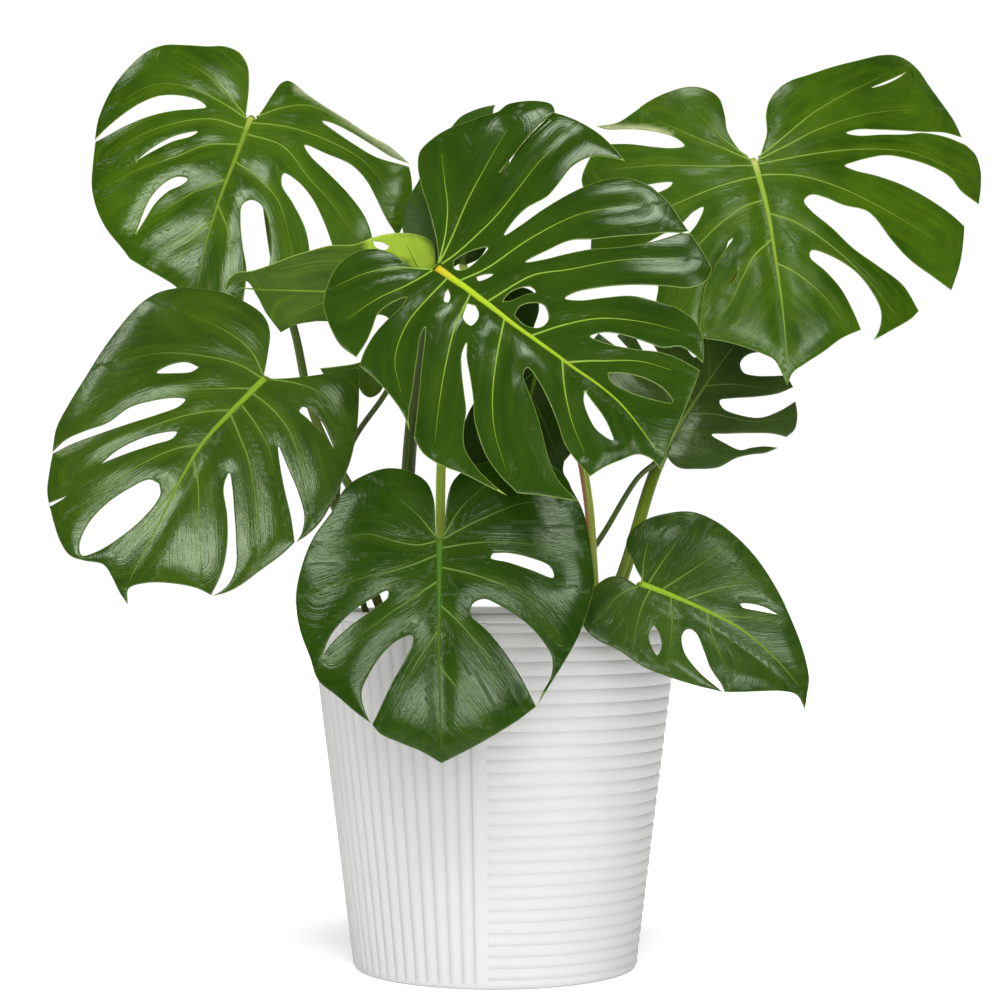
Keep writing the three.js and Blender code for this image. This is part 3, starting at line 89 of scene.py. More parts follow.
# Each blade: where it meets its stalk, its tip, the way its upper side faces, how it is folded, domed and
# hung back, then midrib, outline, holes and side veins in its own plane, along the midrib and across it; a
# third number 1 marks a corner. Each stalk: radius, foot in the soil, and the points on its way.
LEAVES = [
  {
    "name": "upper_left", "colour": "blade", "start": [-174, 40, 592], "tip": [-195, 10, 456],
    "face": [-0.15, -1, 0.35], "fold": 0.1, "dome": 0.001, "sag": 15,
    "midrib": [[0,0], [30,-4], [60,-9], [95,-13], [128,-14]],
    "outline": [
      [1,4,1], [-8,8], [-20,13], [-28,17], [-30.5,22], [-28,28], [-21,38], [-12,54], [-4,70], [6,88],
      [14,105], [25,120.3,1], [21.5,107], [14,92], [6,76], [0,61], [-1,53], [5,62], [14.5,79], [23,97],
      [27.2,120.4,1], [34,123], [48,126], [64,125], [80,121,1], [68,111], [56,103], [42,93], [31,80],
      [24,60], [19,44], [27,50], [38,64], [53,82], [68,96], [84,104], [97,106,1], [108,98], [116,84,1],
      [104,82], [88,75], [72,66], [58,56], [47,44], [42,33], [50,33], [64,44], [82,56], [100,62],
      [118,62,1], [126,50], [129,37,1], [116,35], [100,34], [86,31], [74,26], [66,20], [63.5,13], [67,7],
      [80,8], [98,13], [116,19], [137,20,1], [146,8], [152,-12,1], [144,-22], [133,-29], [127,-40],
      [121,-54], [115,-67,1], [108,-74], [95,-88], [80,-99], [62,-107], [44,-110], [27.6,-111.8,1],
      [22,-103], [14,-91], [5,-73], [0,-57], [-3,-40], [-5,-34], [-9,-39], [-12,-52], [-11,-70], [-3,-86],
      [8,-98], [19,-107.5], [26.4,-112.6,1], [10,-113.5], [-6,-111], [-20,-106], [-34,-98], [-46,-88],
      [-52,-76], [-53,-60], [-53,-43], [-54,-30], [-50,-18], [-40,-10], [-24,-6], [-8,-4.5], [1,-4,1],
    ],
    "holes": [
      [[15,-36], [19,-50], [28,-64], [41,-77,1], [33,-66], [24,-52], [19,-40]],
      [[52,-36], [51,-44], [57,-53], [68,-60], [82,-64], [96,-66,1], [86,-62], [72,-56], [62,-48],
       [57,-40]],
    ],
    "veins": [
      [[-1,4], [-9,22], [-12,42], [-3,66], [9,92]], [[4,0], [6,30], [14,60], [27,88], [50,112]],
      [[13,-2], [21,28], [42,50], [62,72], [84,92]], [[35,-5], [46,14], [62,32], [85,44], [108,52]],
      [[70,-10], [88,0], [110,6], [128,10]], [[-1,-4], [-16,-20], [-30,-38], [-43,-64]],
      [[1,-3], [-10,-24], [-19,-48], [-20,-75], [-6,-98]], [[9,-3], [4,-28], [8,-48], [20,-76], [38,-98]],
      [[22,-4], [25,-28], [36,-48], [48,-74], [62,-96]], [[50,-8], [60,-28], [73,-44], [92,-72]],
      [[82,-12], [97,-28], [112,-46]],
    ],
    "stalk": {
      "radius": 3.1, "foot": [-48, 22],
      "via": [[-66,34,270], [-112,51,344], [-131,58,384], [-144,65,440], [-157,69,482], [-168,72,550]],
    },
  },
  {
    "name": "upper_right", "colour": "blade", "start": [184, 40, 561], "tip": [202, -10, 399],
    "face": [0.2, -1, 0.35], "fold": 0.1, "dome": 0.001, "sag": 13,
    "midrib": [[0,0], [40,3], [82,3], [130,2], [166,0]],
    "outline": [
      [0,4,1], [-10,8], [-22,13], [-38,15], [-50,20], [-60,29], [-66,38], [-72,54], [-80,75], [-88,100],
      [-93,116], [-94,129], [-90,138], [-82,145], [-70,150], [-55,157], [-40,164], [-25,168,1],
      [-27.5,154], [-26.4,135], [-26,120], [-25.5,100], [-25,82], [-22,73], [-20,82], [-21.5,100],
      [-23,120], [-25.6,135], [-24,154], [-19,170,1], [-12,177], [0,179], [14,176], [31,170,1], [21,157],
      [10,151], [2,138], [-3,120], [-5,102], [-2,87], [2,74], [5,67], [9,74], [13,90], [20,110], [30,128],
      [42,144], [51,153,1], [62,150], [82,143], [103,132,1], [93,119], [80,103], [64,91], [48,82], [42,76],
      [38,60], [31,46], [29,37], [34,31], [42,35], [56,48], [72,61], [86,78], [100,94], [120,103,1],
      [126,96], [134,81], [142,65,1], [133,71], [120,74], [104,69], [90,60], [78,44], [73,30], [78,28],
      [90,38], [104,47], [120,53], [134,57,1], [140,42], [149,28], [158,12], [163,4], [172,-1,1], [163,-4],
      [154,-8], [149,-17], [144,-30], [140,-44], [137.5,-59.5,1], [125,-58], [112,-55], [100,-51],
      [90,-45.5], [80,-38.5], [70,-31.3], [63,-26.5], [65.5,-30], [70,-32.4], [79.6,-39.1], [89.6,-46.1],
      [99.7,-51.7], [111.8,-55.7], [124.8,-58.8], [136,-60.6,1], [130,-66], [129,-76], [126,-84,1],
      [112,-88], [97,-85], [86,-90,1], [77,-82], [68,-70], [60,-59], [50,-50], [38,-44], [42,-52],
      [51,-62], [59,-77], [66,-90], [72,-100,1], [73,-112], [68,-128,1], [58,-126], [48,-119], [38,-114,1],
      [33,-102], [29,-88], [26,-76], [22,-67], [18,-63.5], [18,-72], [20,-86], [21,-104], [23,-126,1],
      [12,-127], [0,-122], [-10,-115], [-15,-106,1], [-14,-90], [-11,-72], [-10,-58], [-12,-50], [-18,-55],
      [-23,-68], [-26,-86], [-27,-104], [-30,-111,1], [-32,-96], [-40,-83], [-48,-72], [-56,-56],
      [-61,-38], [-59,-26], [-52,-18], [-38,-16], [-24,-16], [-10,-10], [0,-4,1],
    ],
    "holes": [
      [[-78,132], [-72,121], [-62,101], [-66,113], [-74,127]],
      [[86,-26], [92,-30.5], [99,-34.5], [95,-30], [90,-26.5]],
    ],
    "veins": [
      [[-3,4], [-18,24], [-38,50], [-58,84], [-76,118]], [[-1,4], [-13,28], [-26,55], [-38,92], [-45,132]],
      [[3,2], [-4,40], [-9,85], [-8,125], [6,162]], [[12,2], [13,30], [22,56], [42,92], [64,126]],
      [[43,3], [52,24], [70,45], [95,67], [122,84]], [[82,3], [92,18], [110,34], [128,44]],
      [[-3,-4], [-20,-22], [-38,-36]], [[-1,-3], [-12,-26], [-20,-44], [-32,-66]],
      [[4,0], [5,-35], [4,-70], [6,-108]], [[13,1], [19,-22], [27,-44], [40,-74], [56,-108]],
      [[32,2], [38,-14], [50,-32], [66,-50], [84,-66], [106,-76]],
      [[63,3], [76,-12], [92,-23], [110,-34], [126,-46]],
    ],
    "stalk": {
      "radius": 4.3, "foot": [73, 24],
      "via": [[90,36,266], [116.5,80,343], [146,96,403], [170,100,458], [182,92,523]],
    },
  },
  {
    "name": "front_middle", "colour": "blade", "start": [-37, -110, 465], "tip": [103, -165, 337],
    "face": [0.06, -1, 0.4], "fold": 0.3, "dome": 0.0012, "sag": 11,
    "midrib": [[0,0], [30,2], [60,3], [105,6], [150,10], [190,4]],
    "outline": [
      [-2,3,1], [-12,12], [-26,21], [-38,28], [-52,36], [-64,45], [-70,53], [-70,68], [-67,79], [-63,87],
      [-58,98], [-52.5,108], [-52,116], [-46,125], [-38,132.5], [-31,136], [-25,134,1], [-25.2,118],
      [-22.8,100], [-19.3,82], [-18.5,75], [-18,82], [-22,100], [-24.4,118], [-24,133,1], [-10,138.5],
      [4,141], [18,140], [36,136,1], [26,131], [18,124], [14,110], [17,92], [18,82], [14,68], [14,56],
      [17,44], [20,56], [23,74], [30,100], [38,117], [47,127], [62,133,1], [78,132], [92,128], [104,124,1],
      [94,115], [84,103], [73,91], [63,79], [52,68], [46,54], [41,39], [48,47], [57,60], [66,72], [80,87],
      [92,104], [102,125,1], [116,121], [132,115,1], [135,106], [131,95], [123,88], [112,79], [100,68],
      [88,55], [80,44], [78,37], [86,42], [97,54], [109,66], [122,73], [134,79,1], [148,81], [157,78],
      [165,72], [172,64,1], [164,64], [154,62], [147,54], [138,50], [124,44], [113,37], [108,29], [120,33],
      [135,42], [148,51], [160,56], [174,59,1], [180,46], [187,28], [192,14], [200,-3,1], [192,-2],
      [184,-6], [180,-18], [177,-30], [176,-42,1], [162,-40], [150,-37], [134,-28], [118,-20.5], [106,-16],
      [95,-14], [97,-20], [107,-26], [122,-34], [138,-44], [152,-53], [166,-59], [183,-60,1], [176,-66],
      [167,-73], [155,-84,1], [140,-83], [125,-80], [112,-74], [101,-67], [90,-57], [76,-46], [64,-37],
      [56,-29], [60,-37], [70,-47], [82,-57], [94,-67], [102,-77], [112,-86], [125,-90], [138,-91],
      [152,-90,1], [140,-94], [124,-99], [110,-105], [98,-107], [86,-104,1], [76,-92], [62,-76], [48,-60],
      [36,-46], [30,-40], [33,-47], [46,-63], [60,-80], [72,-95], [80,-102,1], [70,-97], [56,-93],
      [40,-91], [24,-91,1], [19,-83], [13,-68], [10,-54], [8,-40], [4,-31], [1,-42], [2,-54], [9,-66],
      [14,-76], [18,-88,1], [4,-88.5], [-12,-83], [-26,-75], [-37,-61], [-43,-47], [-44,-32], [-39,-20],
      [-28,-13], [-14,-11], [-6,-7], [-2,-3,1],
    ],
    "holes": [
      [[17,-7], [18,-11], [23,-16], [25,-15], [22,-10]],
      [[38,-3.5], [33,-6.5], [34,-11], [41,-16.5], [48,-17], [47,-10], [43,-5.5]],
      [[4,11], [9,7], [14,10], [16,20], [15,31], [9,25], [5,17]],
      [[24,12], [27,10.5], [30,15], [31,20], [27,17]],
      [[49,10.5], [48,17], [51,25], [56,29], [61,28], [57,23], [55,18], [52,12.5]],
      [[62,8], [60,14], [64,21], [71,25], [80,20], [80,13], [73,8]],
      [[131,1], [138,-0.5], [150,-3], [160,-7], [167,-11.5], [156,-14], [144,-10], [134,-3.5]],
      [[133,19.5], [138,16.5], [150,19], [164,25], [176,32.5], [166,35], [152,32], [140,25.5]],
    ],
    "veins": [
      [[-2,3], [-14,21], [-26,35], [-42,48], [-57,60]], [[-2,4], [-10,24], [-20,48], [-31,80], [-38,102]],
      [[0,4], [2,25], [2.5,48], [-1,74], [-5,98], [-7,124]], [[18,3], [25,22], [32,56], [44,88], [66,116]],
      [[42,3], [50,34], [66,54], [86,80], [112,106]], [[80,5], [90,24], [104,42], [126,58], [148,70]],
      [[110,7], [124,22], [142,38], [162,48]], [[-2,-3], [-16,-16], [-26,-34], [-32,-58]],
      [[-1,-3], [-3,-22], [-7,-44], [-8,-72]], [[10,1], [14,-24], [21,-48], [36,-72], [56,-86]],
      [[29,2], [40,-22], [56,-46], [76,-72], [96,-96]], [[58,3], [76,-22], [96,-46], [116,-64], [140,-78]],
      [[106,6], [122,-8], [142,-22], [162,-32]],
    ],
    "stalk": {
      "radius": 4.7, "foot": [-62, -26],
      "via": [[-61,-32,280], [-57,-48,350], [-50,-68,405], [-42,-82,440]],
    },
  },
  {
    "name": "left", "colour": "deep", "start": [-153, -60, 398], "tip": [-242, -90, 257],
    "face": [-0.25, -1, 0.35], "fold": 0.1, "dome": 0.001, "sag": 8,
    "midrib": [[0,0], [30,-5], [60,-9], [90,-7], [125,-3], [162,0]],
    "outline": [
      [-1,3,1], [-9,17], [-20,34], [-36,54,1], [-26,61], [-12,70], [6,80], [25,88], [45,92], [66,94],
      [78,91.5], [86.4,87.8,1], [80,87.5], [70,83], [58,70], [47,54], [37,38.5], [46,46], [60,60], [74,75],
      [87,86.7,1], [98,84], [114,77.5], [130,70.5], [138,64.5], [143,58.6,1], [138,62], [131,64], [120,62],
      [104,51], [88,38], [75,27], [68,19.5], [78,22], [94,36.5], [112,49], [128,55.5], [143.3,57.4,1],
      [144,46], [149,29], [157,12], [166,2], [175,8,1], [171,-2], [165,-12], [161,-22], [165,-35],
      [167,-46], [163,-57], [154,-70], [144,-82,1], [138,-76.5], [134,-73,1], [139,-75.5], [146,-80,1],
      [138,-88], [126,-95], [114,-100.9,1], [102,-92], [88,-79], [72,-64], [56,-49], [45,-40], [39,-39],
      [41,-46], [50,-59], [62,-71], [78,-78], [90,-89], [102,-98.5], [113.2,-101.9,1], [98,-110],
      [80,-113], [58,-115], [36,-117], [14,-117], [-4,-115], [-17,-109], [-27,-98], [-34,-83], [-39,-66],
      [-40.5,-48], [-38,-28], [-30,-17], [-16,-9], [-1,-2,1],
    ],
    "holes": [
      [[15,-45], [16,-55], [23,-64], [32,-69], [27,-58], [20,-47]],
      [[61,-30], [67,-40], [78,-51], [92,-60], [104,-64,1], [90,-52], [76,-39], [66,-30]],
      [[97,-19], [98,-27], [110,-36], [126,-44], [144,-47.5], [158,-44.5], [163,-39], [156,-31], [140,-22],
       [120,-15], [103,-14]],
      [[6,36], [5,42], [9,55], [20,72,1], [15,60], [11,44], [9,36]],
    ],
    "veins": [
      [[-1,-2], [-12,-20], [-16,-45], [-14,-72]], [[1,-1], [0,-20], [5,-42], [18,-74], [38,-100]],
      [[10,-2], [21,-22], [36,-46], [56,-64], [88,-84], [104,-98]],
      [[30,-5], [42,-24], [60,-43], [82,-58], [116,-74]],
      [[60,-9], [72,-24], [90,-37], [112,-48], [136,-60]], [[90,-7], [104,-9], [124,-11], [148,-16]],
      [[-1,3], [-7,24], [-8,44], [2,66]], [[13,-2], [17,20], [25,40], [42,62], [60,82]],
      [[24,-2], [30,13], [40,32], [51,45]], [[33,-5], [43,10], [55,27], [74,46], [100,66]],
      [[72,-8], [86,6], [104,20], [128,38]],
    ],
    "stalk": {
      "radius": 3, "foot": [-74, -6], "via": [[-92,-10,276], [-118,-18,330], [-140,-28,370]],
    },
  },
  {
    "name": "hanging_front", "colour": "deep", "start": [-34, -160, 290], "tip": [-32, -190, 153],
    "face": [0, -1, 0.35], "fold": 0.1, "dome": 0.001, "sag": 12,
    "midrib": [[0,0], [35,-0.5], [70,-1], [105,-0.5], [132,0]],
    "outline": [
      [0,2.5,1], [-12,3.5], [-26,5], [-36,8], [-43,14], [-48,24], [-51,38], [-52,54], [-48,68], [-38,79],
      [-30,83], [-20,88], [-6,92], [12,94], [30,95], [46,91], [62,85], [78,76], [92,67], [105.2,58.7,1],
      [97,62], [88,67], [76,68], [65,62], [54,52], [43,36], [39,27], [42,20], [49,19], [58,28], [72,39],
      [88,49], [106,57.7,1], [114,47], [123,32], [131,17], [139,0,1], [132,-12], [127,-24], [121,-37],
      [115.5,-41.6,1], [106,-37], [90,-29.5], [76,-21.5], [66,-17], [61,-17], [64,-26], [72,-35], [84,-43],
      [96,-48], [107,-46], [114.7,-42.5,1], [108,-51.5], [98,-63], [88,-74.5], [74,-79.5], [56,-86],
      [36,-88.5], [16,-85], [-2,-78], [-18,-67], [-34,-58], [-42,-46], [-46,-32], [-44,-19], [-37,-8],
      [-26,-3.5], [-10,-2.5], [0,-2.5,1],
    ],
    "holes": [
      [[10,33], [13,31.5], [16,42], [21,56], [26,70], [19,68], [13,55], [10,42]],
      [[33,-32], [37,-32], [44,-40], [54,-54], [65,-66], [73,-72,1], [60,-66.5], [47,-55], [38,-42]],
    ],
    "veins": [
      [[-1,2], [-20,14], [-38,34]], [[0,2], [-12,26], [-22,54], [-20,76]],
      [[6,0], [3,25], [4,50], [10,80]], [[18,0], [24,22], [33,44], [46,62], [64,74]],
      [[42,0], [56,14], [74,28], [94,42]], [[80,-1], [94,10], [112,24]], [[-1,-2], [-16,-14], [-30,-30]],
      [[1,-1], [4,-13], [2,-26], [-3,-45], [2,-70]], [[10,-1], [18,-20], [24,-44], [33,-74]],
      [[27,-1], [40,-20], [54,-40], [74,-66]], [[58,-1], [74,-12], [92,-22], [110,-32]],
    ],
    "stalk": {
      "radius": 2.8, "foot": [-20, -56], "via": [[-22,-66,258], [-27,-94,284], [-32,-122,290]],
    },
  },
  {
    "name": "low_right", "colour": "deep", "start": [93, -120, 262], "tip": [198, -125, 192],
    "face": [0.15, -1, 0.4], "fold": 0.1, "dome": 0.001, "sag": 10,
    "midrib": [[0,0], [20,4], [45,8], [70,10.5], [98,7], [118,2]],
    "outline": [
      [1,2.5,1], [-6,6], [-13,11], [-20,15], [-23.5,24], [-21,37], [-12,50], [2,62], [18,65], [36,63],
      [56,57], [76,47], [94,35], [110,22.5], [122,10], [126,2], [130,-9,1], [121,-4], [112,-8], [98,-19],
      [86,-28.5], [81,-31.9,1], [76,-28.5], [66,-24], [55,-15], [46,-8.5], [41,-9], [39.5,-15], [46,-24],
      [60,-30], [79.9,-32.7,1], [64,-39], [48,-44], [30,-48], [12,-47.5], [-6,-49], [-17,-45], [-20,-32],
      [-23,-20], [-19,-8], [-12,-3], [0,-2.5,1],
    ],
    "holes": [
      [[21,-20], [22,-28], [28,-34], [33,-36.5], [33,-31], [27,-23]],
      [[60,25], [62,24], [72,28], [84,33.5,1], [74,32.5], [65,29]],
    ],
    "veins": [
      [[0,2], [-7,16], [-13,34]], [[4,1], [4,22], [5,46]], [[13,3], [21,22], [32,50]],
      [[28,5], [42,24], [60,44]], [[50,9], [66,18], [84,30]], [[0,-2], [-7,-14], [-10,-34]],
      [[7,1], [9,-16], [18,-42]], [[20,4], [31,-14], [40,-34]], [[44,8], [56,-4], [74,-18]],
    ],
    "stalk": {
      "radius": 2.5, "foot": [46, -46], "via": [[50,-56,244], [62,-74,256], [77,-92,257]],
    },
  },
  {
    "name": "right_rear", "colour": "deep", "start": [123, 40, 361], "tip": [184, 80, 450],
    "face": [0.3, -1, 0.1], "fold": 0.1, "dome": 0.001, "sag": 10,
    "midrib": [[0,0], [30,1], [60,1], [90,0], [114,-2]],
    "outline": [
      [0,2.5,1], [-8,5], [-13,12], [-14,24], [-9,42], [0,60], [10,76], [22,86], [31,86,1], [31,76],
      [31,62], [28,46], [27,38], [32,38], [35,50], [36,62], [38,74,1], [44,73], [50,69,1], [44,58],
      [40,48], [35,32], [38,25], [45,36], [50,48], [55,62,1], [66,62], [77,57,1], [72,44], [66,30],
      [64,19], [70,17], [80,30], [92,42,1], [104,30], [114,15], [122,-4,1], [117,-22], [109,-38],
      [103,-44,1], [105,-38], [106,-30], [102,-20], [93,-12.5], [84,-11.5], [80,-17], [84,-26], [92,-36],
      [99,-45], [96,-54,1], [84,-47], [70,-34], [58,-21], [50,-14], [47,-19], [52,-34], [60,-46], [74,-55],
      [88,-61,1], [80,-68], [70,-72], [61,-70,1], [56,-60], [46,-47], [34,-33], [25,-23], [26,-34],
      [29,-46], [36,-52], [44,-60], [50,-69,1], [40,-63], [32,-55], [22,-47], [8,-40], [-3,-28], [-11,-16],
      [-9,-5], [0,-2.5,1],
    ],
    "holes": [],
    "veins": [
      [[2,-1], [8,-16], [16,-36]], [[10,0], [20,-16], [36,-38], [52,-60]],
      [[26,1], [40,-18], [54,-44], [74,-62]], [[52,1], [66,-14], [80,-36]],
      [[2,1], [4,24], [10,50], [22,78]], [[14,1], [28,24], [40,62]], [[34,1], [50,26], [64,52]],
      [[58,1], [74,12], [92,28]],
    ],
    "stalk": {
      "radius": 2.1, "foot": [28, 48], "via": [[46,48,256], [73,50,290], [102,56,336]],
    },
  },
  {
    "name": "turned_left", "colour": "pale", "start": [-45, -45, 457], "tip": [-178, -60, 457],
    "face": [0, 0.85, 0.52], "fold": 0.15, "dome": 0.001, "sag": 4,
    "midrib": [[0,0], [35,-1], [75,-1], [110,0], [128,2]],
    "outline": [
      [0,2.5,1], [-3,12], [-4,24], [-1,36], [7,40], [18,41], [30,39.5], [38,37], [50,32], [66,31], [80,27],
      [92,23], [106,17], [118,13], [128,12], [134,6], [136,-2,1], [131,4], [121,6], [114,-5], [108,-18],
      [98,-33,1], [88,-27], [74,-24,1], [64,-24], [54,-23], [42,-20], [30,-18.5], [25,-22], [24,-32],
      [30,-43], [38,-52], [46,-56.5], [58,-59], [71,-61,1], [67,-68,1], [56,-65], [46,-61], [45,-72],
      [41,-80], [36,-82.5], [30,-79], [25,-68], [18,-50], [8,-34], [-3,-20], [-4,-8], [0,-2.5,1],
    ],
    "holes": [
      [[38,34.5], [32,34], [27,31], [30,28.5], [36,30.5]],
    ],
    "veins": [
      [[0,2], [8,18], [16,34]], [[6,0], [36,17], [70,20], [100,14]], [[40,-1], [66,-8], [90,-20]],
      [[8,0], [20,-34], [36,-72]],
    ],
    "stalk": {
      "radius": 2, "foot": [-86, 14],
      "via": [[-99,5,272], [-108,-10,325], [-97,-18,358], [-72,-40,392], [-54,-62,430]],
    },
  },
  {
    "name": "top_rear", "colour": "deep", "start": [-22, -45, 476], "tip": [2, -20, 590],
    "face": [-0.2, -1, 0], "fold": 0.12, "dome": 0.0012, "sag": 6,
    "midrib": [[0,0], [40,1], [80,1], [112,0]],
    "outline": [
      [0,2.5,1], [-6,10], [-3,24], [6,38], [20,46], [36,47], [50,43], [64,39], [80,34], [98,27], [105,23],
      [110,17], [114,10.5], [118,2,1], [111,2], [98,-9], [82,-16], [62,-18], [42,-18], [22,-16], [6,-11],
      [0,-2.5,1],
    ],
    "holes": [],
    "veins": [
      [[2,1], [10,20], [20,40]], [[14,1], [34,20], [52,38]], [[38,1], [60,16], [80,28]],
      [[10,0], [30,-8], [50,-15]], [[44,1], [66,-6], [88,-12]],
    ],
    "stalk": {
      "radius": 3.3, "foot": [-36, -2], "via": [[-37,-4,270], [-37,-8,340], [-32,-12,400], [-26,-16,440]],
    },
  },
  {
    "name": "inner_middle", "colour": "deep", "start": [29, -60, 409], "tip": [4, -80, 308],
    "face": [-0.1, -1, 0.35], "fold": 0.12, "dome": 0.0012, "sag": 4,
    "midrib": [[0,0], [35,1], [70,1], [98,0]],
    "outline": [
      [0,2.5,1], [-7,8], [-3,19], [10,30], [24,37], [42,40], [56,37], [64,33,1], [71,34], [78,40],
      [85,44,1], [94,38], [101,25], [108,4,1], [103,-8], [97,-18], [86,-29], [70,-36], [54,-38], [40,-36],
      [27,-31], [14,-32], [0,-36], [-15,-39], [-30,-38], [-43,-33], [-49,-23], [-46,-13], [-36,-8.5],
      [-20,-9], [-8,-7], [0,-2.5,1],
    ],
    "holes": [],
    "veins": [
      [[3,0], [14,16], [28,32]], [[24,1], [44,16], [62,28]], [[52,1], [70,12], [88,30]],
      [[6,0], [22,-12], [38,-28]], [[34,1], [54,-14], [74,-28]], [[-2,-4], [-14,-18], [-34,-26]],
    ],
    "stalk": {
      "radius": 3.2, "foot": [70, -24], "via": [[67,-26,262], [63,-28,318], [54,-30,362], [40,-32,392]],
    },
  },
]


# ---------------------------------------------------------------- node materials
class Nodes:
    """A node tree that is put together node by node."""

    def __init__(self, tree):
        self.tree = tree

    def feed(self, socket, value):
        """Links another node's output to the socket, or sets it to a plain value."""
        if isinstance(value, bpy.types.NodeSocket):
            self.tree.links.new(value, socket)
        else:
            socket.default_value = value

    def node(self, kind, values, **settings):
        made = self.tree.nodes.new(kind)
        for key, value in settings.items():
            setattr(made, key, value)
        for key, value in values.items():
            self.feed(made.inputs[key], value)
        return made

    def remap(self, value, low, high, to_low=0.0, to_high=1.0):
        values = {"Value": value, "From Min": low, "From Max": high, "To Min": to_low, "To Max": to_high}
        return self.node("ShaderNodeMapRange", values).outputs["Result"]


class Shader(Nodes):
    """A Principled material."""

    def __init__(self, name):
        self.material = bpy.data.materials.new(name)
        self.material.use_nodes = True
        super().__init__(self.material.node_tree)
        self.bsdf = self.tree.nodes["Principled BSDF"]

    def set(self, **values):
        for key, value in values.items():
            self.feed(self.bsdf.inputs[key.replace("_", " ")], value)

    def attribute(self, name, output="Fac"):
        return self.node("ShaderNodeAttribute", {}, attribute_name=name).outputs[output]

    def place(self):
        return self.node("ShaderNodeTexCoord", {}).outputs["Object"]

    def noise(self, vector, scale, detail=2.0, roughness=0.5):
        values = {"Vector": vector, "Scale": scale, "Detail": detail, "Roughness": roughness}
        return self.node("ShaderNodeTexNoise", values).outputs["Fac"]

    def streaks(self, flow, scale, detail=2.0, roughness=0.5):
        """Noise drawn out along a piece: scale is how fast it changes along, across and between pieces."""
        drawn = self.node("ShaderNodeMapping", {"Vector": flow, "Scale": scale}).outputs["Vector"]
        return self.noise(drawn, 1.0, detail, roughness)

    def times(self, a, b):
        return self.node("ShaderNodeMath", {0: a, 1: b}, operation="MULTIPLY").outputs["Value"]

    def blend(self, factor, a, b):
        """Between two numbers."""
        return self.node("ShaderNodeMix", {0: factor, 2: a, 3: b}).outputs[0]

    def mix(self, factor, a, b):
        """Between two colours."""
        return self.node("ShaderNodeMix", {0: factor, 6: a, 7: b}, data_type="RGBA").outputs[2]

    def bump(self, height, strength, distance, under=None):
        values = {"Height": height, "Strength": strength, "Distance": distance}
        if under is not None:
            values["Normal"] = under
        return self.node("ShaderNodeBump", values).outputs["Normal"]


def rgb(red, green, blue, share=1):
    """A colour given as it looks on a screen, 0 to 255, as the shader's linear value; share dims it."""
    parts = [c * share / 255 for c in (red, green, blue)]
    return tuple(c / 12.92 if c < 0.04045 else ((c + 0.055) / 1.055) ** 2.4 for c in parts) + (1.0,)


# What reflections on a blade's skin are tinted with, and how pale a margin is where it curls over.
SHEEN = (0.86, 1.0, 0.76, 1.0)
CURL = (150, 158, 112)
STALK_FOOT = (92, 80, 44)
SCREEN_WHITE = (1, 1, 1, 1)


def blade_shader(name, dark, light, warm, rough, level, ribs, rim_tint, curl=CURL):
    """Living leaf: mottled green, lighter along the veins, fine ribs that run with them, a waxy skin."""
    s = Shader(name)
    flow = s.attribute("flow", "Vector")
    sure = s.attribute("sure")
    place = s.place()

    def grain(scale, detail, roughness):
        """Streaks along the veins, which fade out halfway between two of them."""
        return s.blend(sure, 0.5, s.streaks(flow, scale, detail, roughness))

    fine = grain((0.05, 0.9, 1.0), 3.0, 0.6)
    coarse = grain((0.02, 0.16, 1.0), 2.0, 0.5)
    blotches = grain((0.1, 0.3, 1.0), 2.0, 0.5)
    cloud = s.noise(place, 20.0, 3.0, 0.55)
    cells = s.noise(place, 900.0, 2.0, 0.6)
    fibres = s.remap(fine, 0.3, 0.7, 0.0, 0.55)
    colour = s.mix(s.remap(cloud, 0.35, 0.68), dark, light)
    colour = s.mix(s.remap(coarse, 0.42, 0.75, 0.0, 0.5), colour, warm)
    colour = s.mix(s.times(s.attribute("near_vein"), 0.45), colour, warm)
    colour = s.mix(fibres, colour, dark)
    colour = s.mix(s.attribute("pale"), colour, s.mix(fibres, rgb(*curl), rgb(*curl, 0.8)))
    colour = s.mix(s.remap(s.attribute("rim"), 0.45, 0.95, 0.0, 0.75), colour, rim_tint)
    s.set(Base_Color=colour)
    s.set(Roughness=s.remap(cells, 0.3, 0.7, rough - 0.03, rough + 0.05))
    s.set(Specular_IOR_Level=level, Specular_Tint=SHEEN)
    low = s.bump(fine, ribs, 0.0006, s.bump(blotches, 0.3, 0.0004))
    s.set(Normal=s.bump(cells, 0.1, 0.0003, low))
    return s.material


def vein_shader(name, near, far, rough, joint=None):
    """A vein, from its foot to its tip; a joint tints the short stretch beside the stalk."""
    s = Shader(name)
    streak = s.streaks(s.attribute("flow", "Vector"), (0.06, 2.0, 1.0))
    along = s.attribute("along")
    mixed = s.mix(along, near, far)
    if joint:
        mixed = s.mix(s.remap(along, 0.0, 0.09), rgb(*joint), mixed)
    s.set(Base_Color=s.mix(s.remap(streak, 0.35, 0.7, 0.0, 0.3), mixed, far))
    s.set(Roughness=rough, Specular_IOR_Level=0.2)
    s.set(Normal=s.bump(streak, 0.25, 0.0004))
    return s.material


